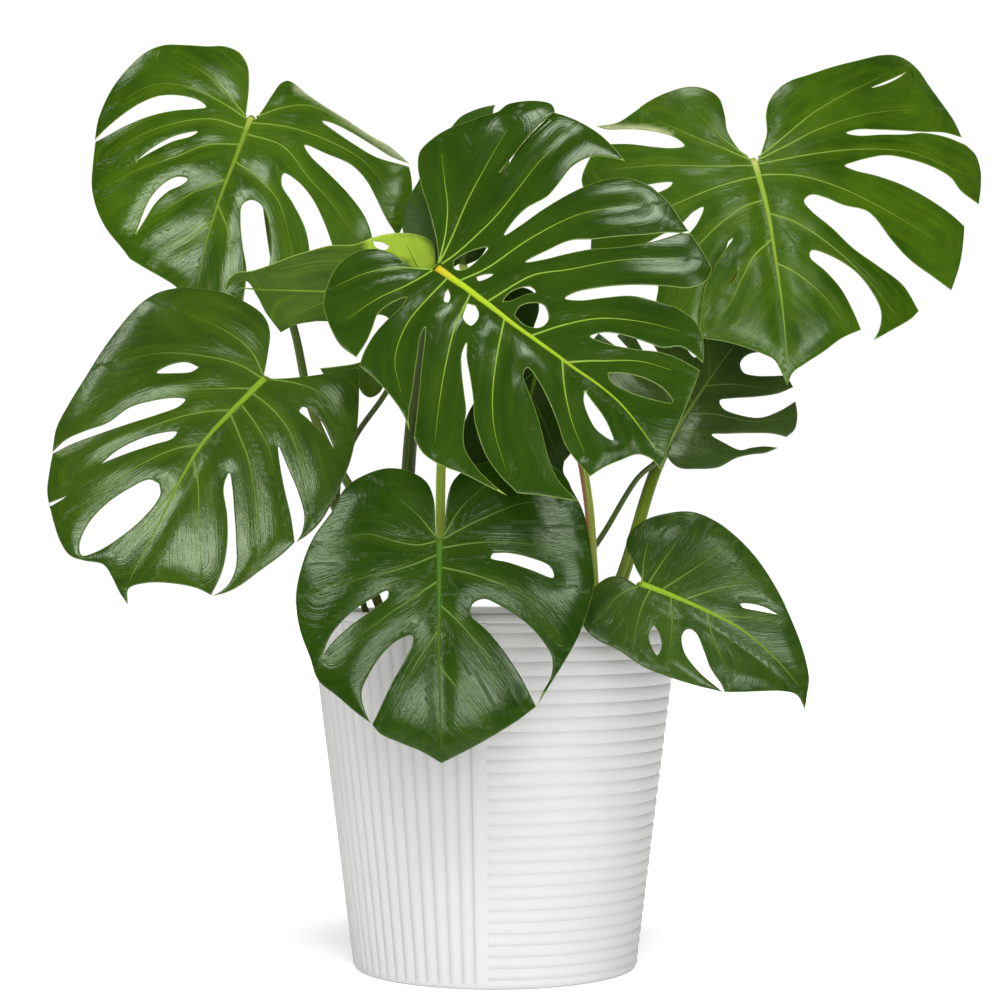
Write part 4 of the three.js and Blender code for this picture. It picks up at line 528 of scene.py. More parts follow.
def stalk_shader(name, middle, bright, blush=None):
    """A stalk: streaked green, browner at its foot, with a brighter band and perhaps a blush on its left."""
    s = Shader(name)
    flow = s.attribute("flow", "Vector")
    streak = s.streaks(flow, (0.012, 1.6, 1.0), 4.0, 0.6)
    band = s.streaks(flow, (0.01, 0.9, 4.0))
    spots = s.noise(s.place(), 420.0)
    along = s.attribute("along")
    colour = s.mix(s.remap(along, 0.0, 0.25), rgb(*STALK_FOOT), rgb(*middle))
    colour = s.mix(s.remap(along, 0.88, 1.0), colour, rgb(*bright))
    colour = s.mix(s.remap(streak, 0.4, 0.66, 0.0, 0.6), colour, rgb(*middle, 0.66))
    colour = s.mix(s.remap(band, 0.52, 0.7, 0.0, 0.75), colour, rgb(*bright))
    if blush:
        colour = s.mix(s.remap(s.attribute("leftward"), 0.35, 0.7), colour, rgb(*blush))
    s.set(Base_Color=colour)
    s.set(Roughness=s.remap(spots, 0.3, 0.7, 0.34, 0.46), Specular_IOR_Level=0.25)
    s.set(Normal=s.bump(streak, 0.3, 0.0005))
    return s.material


def pot_shader(name):
    """Matt off-white glaze, a little cloudy and specked, with painted shade that darkens the grooves."""
    s = Shader(name)
    place = s.place()
    cloud = s.noise(place, 9.0, 3.0)
    specks = s.noise(place, 420.0, 1.0)
    grain = s.noise(place, 1500.0, 3.0, 0.7)
    colour = s.mix(s.remap(cloud, 0.3, 0.7), rgb(179, 179, 178), rgb(175, 175, 173))
    colour = s.mix(s.remap(specks, 0.66, 0.74, 0.0, 0.25), colour, rgb(168, 167, 164))
    # Painted shade: the deeper a point lies in a groove, the darker it is painted.
    colour = s.mix(s.times(s.attribute("hollow"), 0.25), colour, rgb(138, 137, 135))
    s.set(Base_Color=colour)
    s.set(Roughness=s.remap(grain, 0.3, 0.7, 0.5, 0.66))
    s.set(Normal=s.bump(grain, 0.1, 0.0003))
    return s.material


def soil_shader(name):
    """Dark peat; each crumb has its own shade, and the highest shade is a white grain."""
    s = Shader(name)
    place = s.place()
    shade = s.attribute("shade")
    lumps = s.noise(place, 160.0, 5.0, 0.65)
    crumbs = s.noise(place, 900.0, 4.0, 0.7)
    colour = s.mix(s.remap(lumps, 0.35, 0.68), rgb(34, 24, 17), rgb(74, 54, 37))
    colour = s.mix(s.remap(shade, 0.0, 0.8), colour, rgb(96, 70, 46))
    colour = s.mix(s.remap(shade, 0.93, 0.97), colour, rgb(222, 218, 208))
    s.set(Base_Color=colour)
    s.set(Roughness=s.remap(crumbs, 0.3, 0.7, 0.8, 1.0))
    s.set(Normal=s.bump(crumbs, 0.6, 0.0012))
    return s.material


def floor_shader(name):
    """White that gives off a little light, so that the plant's shadow stays faint."""
    s = Shader(name)
    dust = s.noise(s.place(), 30.0, 3.0)
    s.set(Base_Color=s.mix(s.remap(dust, 0.3, 0.7), rgb(254, 254, 254), rgb(253, 253, 253)), Roughness=0.9)
    s.set(Emission_Color=SCREEN_WHITE, Emission_Strength=0.25)
    return s.material


# Each blade's upper side: dark, middle and warm green, the midrib's foot and tip, and the side veins.
# The dark greens of front_middle and inner_middle are partly the blades' own colour and partly painted shade.
TONES = {
    "upper_left": ((32, 56, 5), (53, 81, 13), (72, 96, 11), (92, 116, 14), (76, 102, 12), (94, 122, 38)),
    "upper_right": ((31, 55, 5), (54, 81, 11), (70, 93, 11), (112, 136, 36), (84, 110, 28), (98, 126, 46)),
    "front_middle": ((25, 47, 4), (37, 61, 6), (49, 72, 6), (143, 165, 8), (104, 132, 14), (108, 138, 46)),
    "left": ((32, 53, 8), (46, 68, 13), (66, 87, 12), (98, 126, 14), (72, 98, 12), (82, 108, 40)),
    "hanging_front": ((19, 40, 4), (34, 57, 7), (49, 72, 8), (54, 84, 5), (42, 68, 4), (78, 104, 40)),
    "low_right": ((27, 47, 9), (44, 66, 16), (58, 80, 16), (118, 148, 12), (64, 92, 14), (86, 112, 44)),
    "right_rear": ((37, 55, 19), (52, 71, 28), (62, 82, 24), (92, 112, 40), (62, 84, 30), (76, 98, 44)),
    "turned_left": ((44, 68, 9), (66, 93, 15), (92, 122, 16), (88, 116, 20), (84, 112, 20), (92, 120, 34)),
    "top_rear": ((28, 50, 6), (40, 66, 8), (54, 80, 9), (84, 108, 14), (60, 84, 10), (70, 96, 32)),
    "inner_middle": ((21, 41, 5), (31, 53, 8), (41, 63, 8), (84, 108, 14), (60, 84, 10), (60, 84, 28)),
}
RIM = {"blade": rgb(128, 150, 66), "deep": rgb(84, 104, 42), "pale": rgb(128, 148, 66)}
# How much each skin reflects and how rough it is, for the rest and for the blades that differ.
SKIN = (0.38, 0.13)
SKINS = {
    "turned_left": (0.15, 0.5),
    "top_rear": (0.15, 0.3),
    "inner_middle": (0.15, 0.3),
    "right_rear": (0.4, 0.2),
    "hanging_front": (0.3, 0.12),
    "low_right": (0.3, 0.14),
    "front_middle": (0.36, 0.13),
    "upper_right": (0.28, 0.15),
    "left": (0.36, 0.14),
}
# Colour of the short joint between stalk and blade, where it shows.
JOINTS = {"front_middle": (172, 142, 22), "upper_left": (136, 146, 60), "upper_right": (152, 156, 84)}
# The paler tint of a margin that curls over, where it isn't CURL.
CURLS = {"upper_left": (120, 128, 92)}
# How rough undersides are, and how strong the fine ribs are there and on top.
UNDER_ROUGH = 0.42
UNDER_RIBS = 0.5
TOP_RIBS = 0.2
UNDER_TONES = (rgb(60, 82, 26), rgb(82, 104, 40), rgb(94, 114, 34))
UNDERSIDE = blade_shader("blade_underside", *UNDER_TONES, UNDER_ROUGH, 0.4, UNDER_RIBS, RIM["blade"])
VEIN_UNDER = vein_shader("vein_under", rgb(122, 140, 56), rgb(92, 114, 48), UNDER_ROUGH)
# The materials of a blade, in the order that blade_looks gives them.
TOP, UNDER, MIDRIB, MIDRIB_UNDER, SIDE_VEIN = range(5)


def blade_looks(leaf):
    """A blade's materials; the turned blade shows its underside, which has the colours of a top."""
    name = leaf["name"]
    *greens, foot, tip, side = (rgb(*tone) for tone in TONES[name])
    level, rough = SKINS.get(name, SKIN)
    rim = RIM[leaf["colour"]]
    top = blade_shader("skin_" + name, *greens, rough, level, TOP_RIBS, rim, CURLS.get(name, CURL))
    midrib = vein_shader("midrib_" + name, foot, tip, 0.4, JOINTS.get(name))
    side_vein = vein_shader("vein_" + name, side, tip, 0.34)
    if name == "turned_left":
        under = blade_shader("under_" + name, *greens, UNDER_ROUGH, 0.2, UNDER_RIBS, rim, (150, 178, 50))
        return [top, under, midrib, midrib, side_vein]
    return [top, UNDERSIDE, midrib, VEIN_UNDER, side_vein]


# ---------------------------------------------------------------- curves
FAR = 1e9


def through(points, step):
    """Points every step or so on a centripetal Catmull-Rom curve through the given ones."""
    pts = np.array(points, float)
    ends = np.vstack([2 * pts[0] - pts[1], pts, 2 * pts[-1] - pts[-2]])
    out = []
    for a, b, c, d in zip(ends, ends[1:], ends[2:], ends[3:]):
        ta, tb, tc = (max(float(np.linalg.norm(q - p)) ** 0.5, 1e-4) for p, q in ((a, b), (b, c), (c, d)))
        m1 = ((b - a) / ta - (c - a) / (ta + tb) + (c - b) / tb) * tb
        m2 = ((c - b) / tb - (d - b) / (tb + tc) + (d - c) / tc) * tb
        count = max(1, round(float(np.linalg.norm(c - b)) / step))
        t = (np.arange(count) / count)[:, None]
        out.append(b + m1 * t + (3 * (c - b) - 2 * m1 - m2) * t**2 + (2 * (b - c) + m1 + m2) * t**3)
    return np.vstack(out + [pts[-1:]])


def closed_loop(points, step):
    """A closed outline, smooth between the points that are marked as corners."""
    corner = next((i for i, p in enumerate(points) if len(p) > 2), 0)
    turned = points[corner:] + points[:corner] + [points[corner]]
    loop, run = [], [turned[0][:2]]
    for i, p in enumerate(turned[1:], 1):
        run.append(p[:2])
        if len(p) > 2 or i == len(turned) - 1:
            loop.append(through(run, step)[:-1])
            run = [p[:2]]
    return np.vstack(loop)


def inside(points, loop):
    """Which of the points lie inside a closed loop."""
    hit = np.zeros(len(points), bool)
    for a, b in zip(loop, np.roll(loop, -1, axis=0)):
        if a[1] == b[1]:
            continue
        crosses = (points[:, 1] < a[1]) != (points[:, 1] < b[1])
        hit ^= crosses & (points[:, 0] < a[0] + (points[:, 1] - a[1]) / (b[1] - a[1]) * (b[0] - a[0]))
    return hit


def edge_distance(points, loop):
    """How far each point is from a closed loop."""
    best = np.full(len(points), FAR)
    for a, b in zip(loop, np.roll(loop, -1, axis=0)):
        way = b - a
        t = np.clip(((points - a) @ way) / max(way @ way, 1e-9), 0, 1)
        gap = points - a - t[:, None] * way
        best = np.minimum(best, (gap * gap).sum(axis=1))
    return np.sqrt(best)


def nearest(points, line):
    """For each point the nearest sample of a line: its number, its distance and the side the point is on."""
    gap = np.linalg.norm(points[:, None, :] - line[None, :, :], axis=2)
    at = gap.argmin(axis=1)
    way = np.gradient(line, axis=0)[at]
    out = points - line[at]
    side = np.sign(way[:, 0] * out[:, 1] - way[:, 1] * out[:, 0])
    return at, gap[np.arange(len(points)), at], side


def hump(x, width):
    """1 at zero, falling softly to nothing beyond about twice the width."""
    return np.exp(-((x / width) ** 2))


def taper(count, first, last, power=1.0):
    return first + (last - first) * np.linspace(0, 1, count) ** power


# ---------------------------------------------------------------- meshes
def put(name, data):
    """A new object in the scene."""
    made = bpy.data.objects.new(name, data)
    bpy.context.scene.collection.objects.link(made)
    return made


def build(name, points, faces, looks, which=None):
    """A smooth-shaded object from points in millimetres."""
    mesh = bpy.data.meshes.new(name)
    mesh.from_pydata((np.asarray(points) * MM).tolist(), [], [list(map(int, f)) for f in faces])
    for look in looks:
        mesh.materials.append(look)
    if which is not None:
        mesh.polygons.foreach_set("material_index", np.asarray(which, np.int32))
    mesh.polygons.foreach_set("use_smooth", np.ones(len(mesh.polygons), bool))
    mesh.update()
    return put(name, mesh)


def number(obj, name, values):
    """A number at each point, for the shaders."""
    layer = obj.data.attributes.new(name, "FLOAT", "POINT")
    layer.data.foreach_set("value", np.asarray(values, np.float32))


def arrow(obj, name, values):
    """A vector at each point, for the shaders."""
    layer = obj.data.attributes.new(name, "FLOAT_VECTOR", "POINT")
    layer.data.foreach_set("vector", np.asarray(values, np.float32).ravel())


def hand_over(obj, node):
    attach(obj, "root")
    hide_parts(node)


def tube_faces(rows, sides):
    """The quads of rows of points, each row closed round."""
    faces = []
    for r in range(rows - 1):
        for k in range(sides):
            a, b = r * sides + k, r * sides + (k + 1) % sides
            faces.append((a, b, b + sides, a + sides))
    return faces


def caps(rows, sides):
    """The two ends of such a tube."""
    last = (rows - 1) * sides
    return [tuple(range(sides))[::-1], tuple(last + k for k in range(sides))]


# ---------------------------------------------------------------- blades
# How thick a blade is, and how much of that its edge keeps on each side.
BLADE = 0.8
EDGE_SHARE = 0.28
# How close its points lie along edges, beside them, over the rest and along veins, and how far points of a
# row and of the grid keep from the edges.
EDGE_STEP = 2.2
EDGE_ROW = 0.9
GRID = 3.2
ROW_RATIO = 0.866
VEIN_STEP = 2.0
MIDRIB_STEP = 2.5
ROW_ROOM = 0.75
GRID_ROOM = 2.0
# The triangulation keeps what is inside the outline, and joins points that are closer than this.
INSIDE_ONLY = 1
MERGE = 1e-5
# The hollow along a side vein: depth, half width and share lost towards the vein's end, after a run-in.
GROOVE = (1.0, 7.5, 0.5)
GROOVES = {
    "front_middle": (2.3, 7.8, 0.2),
    "upper_left": (1.4, 7.0, 0.5),
    "upper_right": (1.2, 7.5, 0.5),
    "low_right": (0.35, 7.0, 0.5),
    "hanging_front": (0.3, 6.0, 0.5),
    "turned_left": (0.7, 7.0, 0.5),
}
GROOVE_RUN_IN = 24
# Where the second vein is this much further than the first, a point clearly belongs to the first.
CLEAR_GAP = 8
# How far apart two veins' streaks are taken from the noise.
VEIN_OFFSET = 60
# Depth, half width and run-in of the hollow along the midrib, the roll at the margin, and a slow ripple.
RIB_HOLLOW = 1.2
RIB_HOLLOW_WIDTH = 7
RIB_RUN_IN = 15
ROLL = 0.9
ROLL_WIDTH = 6.5
RIPPLE = 0.5
# Slits whose sides lie over each other, from the inner end to the margin, and how far they shift and lift,
# with the half widths of both and the run-in from the ends.
LAPS = {
    "front_middle": [(-18.5, 78), (-21, 92), (-23.5, 110), (-24.8, 133)],
    "upper_right": [(66, -29), (80, -39), (100, -51.3), (112, -55.4), (125, -58.4), (136, -60)],
}
LAP_SHIFT = 1.1
LAP_SHIFT_WIDTH = 2.4
LAP_LIFT = 1.0
LAP_LIFT_WIDTH = 3.2
LAP_RUN_IN = 12
# Margins that curl over and show their paler side: a line in the blade's plane and half the band's width.
CURLED = {
    "upper_left": (
        [(-25, 31), (-21, 42), (-13, 58), (-3, 74), (4, 86), (13, 102), (19, 113), (23, 120)],
        3.5,
    ),
    "upper_right": ([(-28, -111), (-28, -100), (-27, -88), (-25, -72), (-21, -60)], 2.0),
    "turned_left": ([(34, 33), (22, 32), (9, 30), (5, 24)], 9.0),
}
CURL_SOFTNESS = 4
# Extra bow along the midrib.
BOWS = {"low_right": 0.0003}
# A blade of this length or more has full veins. The midrib ends short of the tip, and a side vein short of an
# edge, but not before its first samples.
FULL_LENGTH = 150
VEIN_SIDES = 10
MIDRIB_END = 6
VEIN_END = 2.0
VEIN_SHORTEST = 12


class Blade:
    """One leaf blade: its plane, its relief, and the points and faces of its two sides."""

    def __init__(self, leaf):
        self.leaf = leaf
        self.name = leaf["name"]
        self.origin = np.array(leaf["start"], float)
        along = np.array(leaf["tip"], float) - self.origin
        self.length = float(np.linalg.norm(along))
        self.along = along / self.length
        up = np.array(leaf["face"], float)
        up -= self.along * (up @ self.along)
        self.up = up / np.linalg.norm(up)
        self.across = np.cross(self.up, self.along)
        self.loops = [closed_loop(loop, EDGE_STEP) for loop in [leaf["outline"]] + leaf["holes"]]
        self.veins = [through(vein, VEIN_STEP) for vein in leaf["veins"]]
        self.midrib = through(leaf["midrib"], MIDRIB_STEP)

    def margin(self, p):
        """How far each point is from the nearest edge, the holes' edges included."""
        return np.min([edge_distance(p, loop) for loop in self.loops], axis=0)

    def covers(self, p):
        """Which points lie in the outline and in no hole."""
        keep = inside(p, self.loops[0])
        for loop in self.loops[1:]:
            keep &= ~inside(p, loop)
        return keep

    def bend(self, p):
        """How the solid blade is folded, domed and bowed."""
        u, v = p[:, 0], p[:, 1]
        valley = self.leaf["fold"] * (np.sqrt(v * v + SOFTNESS**2) - SOFTNESS)
        bow = np.where(u > 0, BOW * u * (self.length - u), -LOBE_DROP * u * u)
        return valley - self.leaf["dome"] * v * v + bow

    def place(self, p, lift):
        """From the blade's plane to space, hung back from the point that it faces."""
        moved = p + self.lap(p)[0]
        spot = self.origin + np.outer(moved[:, 0], self.along) + np.outer(moved[:, 1], self.across)
        spot = spot + np.outer(self.bend(p) + lift, self.up)
        away = spot - FACED_POINT
        return spot + away * (self.leaf["sag"] * (p[:, 1] / 100) ** 2 / away[:, 1])[:, None]

    def vein_field(self, p):
        """What the side veins give each point: the nearest one's distance, share of its length, side, number
        and running length, how clearly it is the nearest, and the hollow that all of them press together."""
        best, second, hollow = np.full((5, len(p)), FAR), np.full(len(p), FAR), np.zeros(len(p))
        depth, width, loss = GROOVES.get(self.name, GROOVE)
        for k, vein in enumerate(self.veins):
            at, near, side = nearest(p, vein)
            share, run = at / (len(vein) - 1), at * VEIN_STEP
            hollow -= depth * np.minimum(1, run / GROOVE_RUN_IN) * (1 - loss * share) * hump(near, width)
            closer = near < best[0]
            second = np.where(closer, best[0], np.minimum(second, near))
            best = np.where(closer, [near, share, side, np.full(len(p), k), run], best)
        sure = np.clip((second - best[0]) / CLEAR_GAP, 0, 1)
        return *best, sure, hollow

    def relief(self, p, margin):
        """What the finer blade adds to the solid: grooves, rolled edges, a ripple and lapping slits."""
        hollow = self.vein_field(p)[-1]
        rib = -RIB_HOLLOW * hump(p[:, 1], RIB_HOLLOW_WIDTH) * np.clip(p[:, 0] / RIB_RUN_IN, 0, 1)
        roll = -ROLL * hump(margin, ROLL_WIDTH)
        u, v, phase = p[:, 0] / 100, p[:, 1] / 100, self.length
        ripple = RIPPLE * np.sin(5.1 * u + 3.0 * v + phase) * np.cos(4.3 * v - 2.2 * u + phase)
        reach = np.clip(p[:, 0], 0, self.length)
        bow = BOWS.get(self.name, 0) * reach * (self.length - reach)
        return hollow + rib + roll + ripple + bow + self.lap(p)[1]

    def lap(self, p):
        """Where the two sides of a slit lie over each other: the shift towards the slit, and the lift."""
        if self.name not in LAPS:
            return np.zeros_like(p), np.zeros(len(p))
        line = through(LAPS[self.name], 1.0)
        at, near, side = nearest(p, line)
        ends = np.minimum(1, np.minimum(at, len(line) - 1 - at * 0.7) / LAP_RUN_IN).clip(0, 1)
        pull = LAP_SHIFT * ends * hump(near, LAP_SHIFT_WIDTH) / np.maximum(near, 0.3)
        return (line[at] - p) * pull[:, None], LAP_LIFT * ends * side * hump(near, LAP_LIFT_WIDTH)

    def pale_share(self, p):
        """How much of the paler tint shows where a margin curls over."""
        if self.name not in CURLED:
            return np.zeros(len(p))
        line, width = CURLED[self.name]
        near = nearest(p, through(line, 2.0))[1]
        return np.clip((width + CURL_SOFTNESS / 2 - near) / CURL_SOFTNESS, 0, 1)

    def edge_rows(self):
        """A row of points just beside each edge, on both of its sides."""
        rows = []
        for loop in self.loops:
            way = np.roll(loop, -1, axis=0) - np.roll(loop, 1, axis=0)
            normal = np.stack([-way[:, 1], way[:, 0]], axis=1)
            normal /= np.maximum(np.linalg.norm(normal, axis=1), 1e-6)[:, None]
            rows += [loop + EDGE_ROW * normal, loop - EDGE_ROW * normal]
        return np.vstack(rows)

    def grid_points(self):
        """A staggered grid over the blade that makes way for points along the veins."""
        low, high = self.loops[0].min(axis=0), self.loops[0].max(axis=0)
        grid = []
        for i, u in enumerate(np.arange(low[0], high[0], GRID * ROW_RATIO)):
            v = np.arange(low[1] + (i % 2) * GRID / 2, high[1], GRID)
            grid.append(np.stack([np.full(len(v), u), v], axis=1))
        grid = np.vstack(grid)
        lines = np.vstack(self.veins + [self.midrib])
        return np.vstack([grid[nearest(grid, lines)[1] > GRID * 0.5], lines[::2]])

    def triangles(self):
        """Outline, an inner row just beside it, the veins and a loose grid, joined into triangles."""
        flat = [np.vstack(self.loops)]
        for points, room in ((self.edge_rows(), ROW_ROOM), (self.grid_points(), GRID_ROOM)):
            flat.append(points[self.covers(points) & (self.margin(points) > room)])
        edges, base = [], 0
        for loop in self.loops:
            edges += [(base + i, base + (i + 1) % len(loop)) for i in range(len(loop))]
            base += len(loop)
        corners = [Vector(p) for p in np.vstack(flat)]
        verts, _, faces, origins, _, _ = delaunay_2d_cdt(corners, edges, [], INSIDE_ONLY, MERGE)
        verts = np.array([tuple(p) for p in verts])
        on_edge = np.array([any(i < base for i in near) for near in origins])
        faces = np.array([f for f in faces if len(f) == 3])
        return verts, faces[self.covers(verts[faces].mean(axis=1))], on_edge

    def sheet(self):
        """The triangles without unused points, all facing up, and the edges that only one of them has."""
        flat, faces, on_edge = self.triangles()
        used = np.unique(faces)
        back = np.full(len(flat), -1)
        back[used] = np.arange(len(used))
        flat, faces, on_edge = flat[used], back[faces], on_edge[used]
        a, b, c = (flat[faces[:, i]] for i in range(3))
        wrong = (b[:, 0] - a[:, 0]) * (c[:, 1] - a[:, 1]) - (b[:, 1] - a[:, 1]) * (c[:, 0] - a[:, 0]) < 0
        faces[wrong] = faces[wrong][:, ::-1]
        sides = dict.fromkeys((f[i], f[(i + 1) % 3]) for f in faces for i in range(3))
        return flat, faces, on_edge, [(a, b) for a, b in sides if (b, a) not in sides]

    def mesh(self):
        """Both sides and the wall between them: points, faces, materials, flow and numbers for the looks."""
        flat, tops, on_edge, border = self.sheet()
        count = len(flat)
        relief = self.relief(flat, self.margin(flat))
        half = np.where(on_edge, BLADE * EDGE_SHARE, BLADE / 2)
        points = np.vstack([self.place(flat, relief + half), self.place(flat, relief - half)])
        walls = [(a, a + count, b + count, b) for a, b in border]
        faces = [tuple(f) for f in tops] + [tuple(f[::-1] + count) for f in tops] + walls
        which = [TOP] * len(tops) + [UNDER] * len(tops) + [TOP] * len(walls)
        near, share, side, k, along, sure, _ = self.vein_field(flat)
        flow = np.stack([along, side * near + VEIN_OFFSET * k, np.zeros(count)], axis=1)
        values = {
            "rim": np.where(on_edge, 1.0, 0.0),
            "near_vein": hump(near, 4.0) * (1 - 0.6 * share),
            "along": share,
            "sure": sure,
            "pale": self.pale_share(flat),
        }
        twice = {key: np.tile(value, 2) for key, value in values.items()}
        return points, faces, which, np.tile(flow, (2, 1)), twice

    def vein_lines(self):
        """Each vein's line, half widths and heights above and below the blade; the midrib comes first."""
        size = min(1.0, self.length / FULL_LENGTH)
        line = self.midrib[self.midrib[:, 0] < self.length - MIDRIB_END]
        n = len(line)
        lines = [(line, taper(n, 2.9 * size, 0.35, 0.65), taper(n, 1.1, 0.15), taper(n, 2.3 * size, 0.4))]
        for vein in self.veins:
            close = self.margin(vein) < VEIN_END
            close[:VEIN_SHORTEST] = False
            line = vein[: int(np.argmax(close)) if close.any() else len(vein)]
            n = len(line)
            lines.append((line, taper(n, 0.75 * size + 0.1, 0.16), taper(n, 0.4, 0.05), taper(n, size, 0.1)))
        return lines

    def rib(self, line, widths, above, below):
        """A raised vein along a line: flattened on top, fuller underneath."""
        relief = self.relief(line, self.margin(line))
        way = np.gradient(line, axis=0)
        way /= np.linalg.norm(way, axis=1)[:, None]
        side = np.stack([-way[:, 1], way[:, 0]], axis=1)
        points = []
        for k in range(VEIN_SIDES):
            turn = 2 * math.pi * k / VEIN_SIDES
            lift = (BLADE / 2 + (above if math.sin(turn) >= 0 else below)) * math.sin(turn)
            points.append(self.place(line + side * (widths * math.cos(turn))[:, None], relief + lift))
        points = np.stack(points, axis=1)
        rows = len(line)
        share = np.repeat(np.linspace(0, 1, rows), VEIN_SIDES)
        across = np.tile(np.arange(VEIN_SIDES), rows)
        flow = np.stack([share * rows * 2, across, np.zeros(len(share))], axis=1)
        return points.reshape(-1, 3), share, flow


def make_blade(leaf):
    """The blade's two sides and its raised veins, as one piece."""
    blade = Blade(leaf)
    points, faces, which, flow, numbers = blade.mesh()
    points, flows = [points], [flow]
    numbers = {key: [value] for key, value in numbers.items()}
    start = len(points[0])
    half_round = VEIN_SIDES // 2
    for i, (line, widths, above, below) in enumerate(blade.vein_lines()):
        top = SIDE_VEIN if i else MIDRIB
        more, share, more_flow = blade.rib(line, widths, above, below)
        more_faces = tube_faces(len(line), VEIN_SIDES) + caps(len(line), VEIN_SIDES)
        faces += [tuple(j + start for j in f) for f in more_faces]
        which += ([top] * half_round + [MIDRIB_UNDER] * half_round) * (len(line) - 1) + [top, top]
        start += len(more)
        points.append(more)
        flows.append(more_flow)
        numbers["along"].append(share)
        for key, value in (("rim", 0.0), ("near_vein", 1.0), ("sure", 1.0), ("pale", 0.0)):
            numbers[key].append(np.full(len(more), value))
    made = build("blade_" + blade.name, np.vstack(points), faces, blade_looks(leaf), which)
    arrow(made, "flow", np.vstack(flows))
    for key, parts in numbers.items():
        number(made, key, np.concatenate(parts))
    hand_over(made, "leaf_" + blade.name)
    return blade


# ---------------------------------------------------------------- stalks
STALK_SIDES = 18
STALK_STEP = 5.0
# How thick a stalk is at its foot and how much of that it loses; the knee's swelling, its distance from the
# blade and half its length; the channel's depth and half width; how far below the blade the stalk ends.
FOOT_SHARE = 1.2
TAPER_SHARE = 0.35
KNEE = 0.1
KNEE_DROP = 16
KNEE_WIDTH = 11
CHANNEL = 0.13
CHANNEL_WIDTH = 0.42
STALK_GAP = 0.9
# The middle and the brighter green of each stalk, and its blush where it has one.
STALK = ((66, 82, 26), (98, 114, 42))
STALKS = {
    "front_middle": ((48, 66, 8), (90, 110, 24)),
    # The light greens of the top_rear and inner_middle stalks are partly their own colour and partly painted
    # light, brightened so that these shaded stalks look lit.
    "top_rear": ((160, 188, 58), (192, 212, 96)),
    "upper_right": ((92, 114, 22), (124, 144, 42)),
    "inner_middle": ((146, 164, 56), (196, 196, 110), (186, 112, 84)),
    "upper_left": ((66, 84, 24), (96, 114, 44)),
}


def sweep(line, radius, shape, sides):
    """A tube along a line whose rings don't twist; shape scales each ring round its turn."""
    way = np.gradient(line, axis=0)
    way /= np.linalg.norm(way, axis=1)[:, None]
    first = np.array([0.0, -1.0, 0.0])
    first -= way[0] * (first @ way[0])
    normals = [first / np.linalg.norm(first)]
    for w in way[1:]:
        n = normals[-1] - w * (normals[-1] @ w)
        normals.append(n / np.linalg.norm(n))
    normals = np.array(normals)
    sideways = np.cross(way, normals)
    turn = np.linspace(0, 2 * math.pi, sides, endpoint=False)
    ring = radius[:, None] * shape(np.linspace(0, 1, len(line))[:, None], turn[None, :])
    cos, sin = np.cos(turn)[None, :, None], np.sin(turn)[None, :, None]
    out = cos * normals[:, None, :] + sin * sideways[:, None, :]
    points = line[:, None, :] + ring[..., None] * out
    return points.reshape(-1, 3), tube_faces(len(line), sides) + caps(len(line), sides)


def stalk_line(stalk, blade):
    """From deep in the soil through the stalk's points to just under the blade, which it meets from below."""
    x, y = stalk["foot"]
    ground = soil_level(x, y)
    path = [(x, y, ground - STALK_DEPTH), (x, y, ground + 4)] + stalk["via"]
    path += [blade.origin - 20 * blade.up - (0, 0, 9), blade.origin - 2.6 * blade.up]
    return np.vstack([through(path, STALK_STEP), blade.origin - STALK_GAP * blade.up])


def stalk_section(share, turn):
    """A nearly round section with a channel that fades out upwards, and faint ridges."""
    channel = CHANNEL * hump(turn - math.pi + 0.6, CHANNEL_WIDTH) * np.clip(1.2 - 1.6 * share, 0, 1)
    return 1.02 - channel + 0.015 * np.sin(7 * turn + 9 * share)


def make_stalk(leaf, blade):
    """A tapering stalk with a slight knee just below the blade."""
    thick = leaf["stalk"]["radius"]
    line = stalk_line(leaf["stalk"], blade)
    length = np.concatenate([[0], np.cumsum(np.linalg.norm(np.diff(line, axis=0), axis=1))])
    share = length / length[-1]
    radius = thick * (FOOT_SHARE - TAPER_SHARE * share**0.6)
    radius *= 1 + KNEE * hump(length[-1] - length - KNEE_DROP, KNEE_WIDTH)
    radius[-1] *= 0.72
    points, faces = sweep(line, radius, stalk_section, STALK_SIDES)
    look = stalk_shader("stalk_" + blade.name, *STALKS.get(blade.name, STALK))
    made = build("petiole_" + blade.name, points, faces, [look])
    turns = np.arange(STALK_SIDES) * (FULL_TURN / STALK_SIDES)
    across = np.tile(turns * thick, len(line))
    flow = np.stack([np.repeat(length, STALK_SIDES), across, np.full(len(across), thick)], axis=1)
    arrow(made, "flow", flow)
    number(made, "leftward", np.tile(np.cos(turns - 4.9), len(line)))
    number(made, "along", np.repeat(share, STALK_SIDES))
    hand_over(made, "stalk_" + blade.name)


# ---------------------------------------------------------------- pot
BODY_TOP = POT_HEIGHT - LIP_HEIGHT
# Where the points of a rib and of a flute lie, from one groove at 0 to the next at 1. The level ribs are
# shallower than the flutes.
RIB_STEPS = (0, 0.035, 0.09, 0.18, 0.32, 0.5, 0.68, 0.82, 0.91, 0.965)
FLUTE_STEPS = (0, 0.05, 0.13, 0.25, 0.4, 0.6, 0.75, 0.87, 0.95)
RIB_SHARE = 0.62
RIBBED_COLUMNS = 92
# Distance from the lip's lower edge, from the pot's top or from its floor, and inset from the wall.
LIP_FOOT = ((0.1, 1.1), (0.5, 0.35), (1.2, 0))
LIP_TOP = ((1.8, 0), (0.9, 0.25), (0.25, 0.9), (0, 1.9))
MOUTH = ((0, -1.6), (0.4, -0.5))
INNER_FOOT = ((1.7, 1.8), (0, 6))


def swelling(t, share):
    """Depth of a rib or flute below its crown, from one groove at 0 to the next at 1."""
    return share * GROOVE_DEPTH * abs(2 * t - 1) ** 2.2


def groove_heights():
    growth = (TOPMOST_RIB - LOWEST_RIB) / (RIB_COUNT - 1)
    return [FIRST_GROOVE + LOWEST_RIB * k + growth * k * (k - 1) / 2 for k in range(RIB_COUNT + 1)]


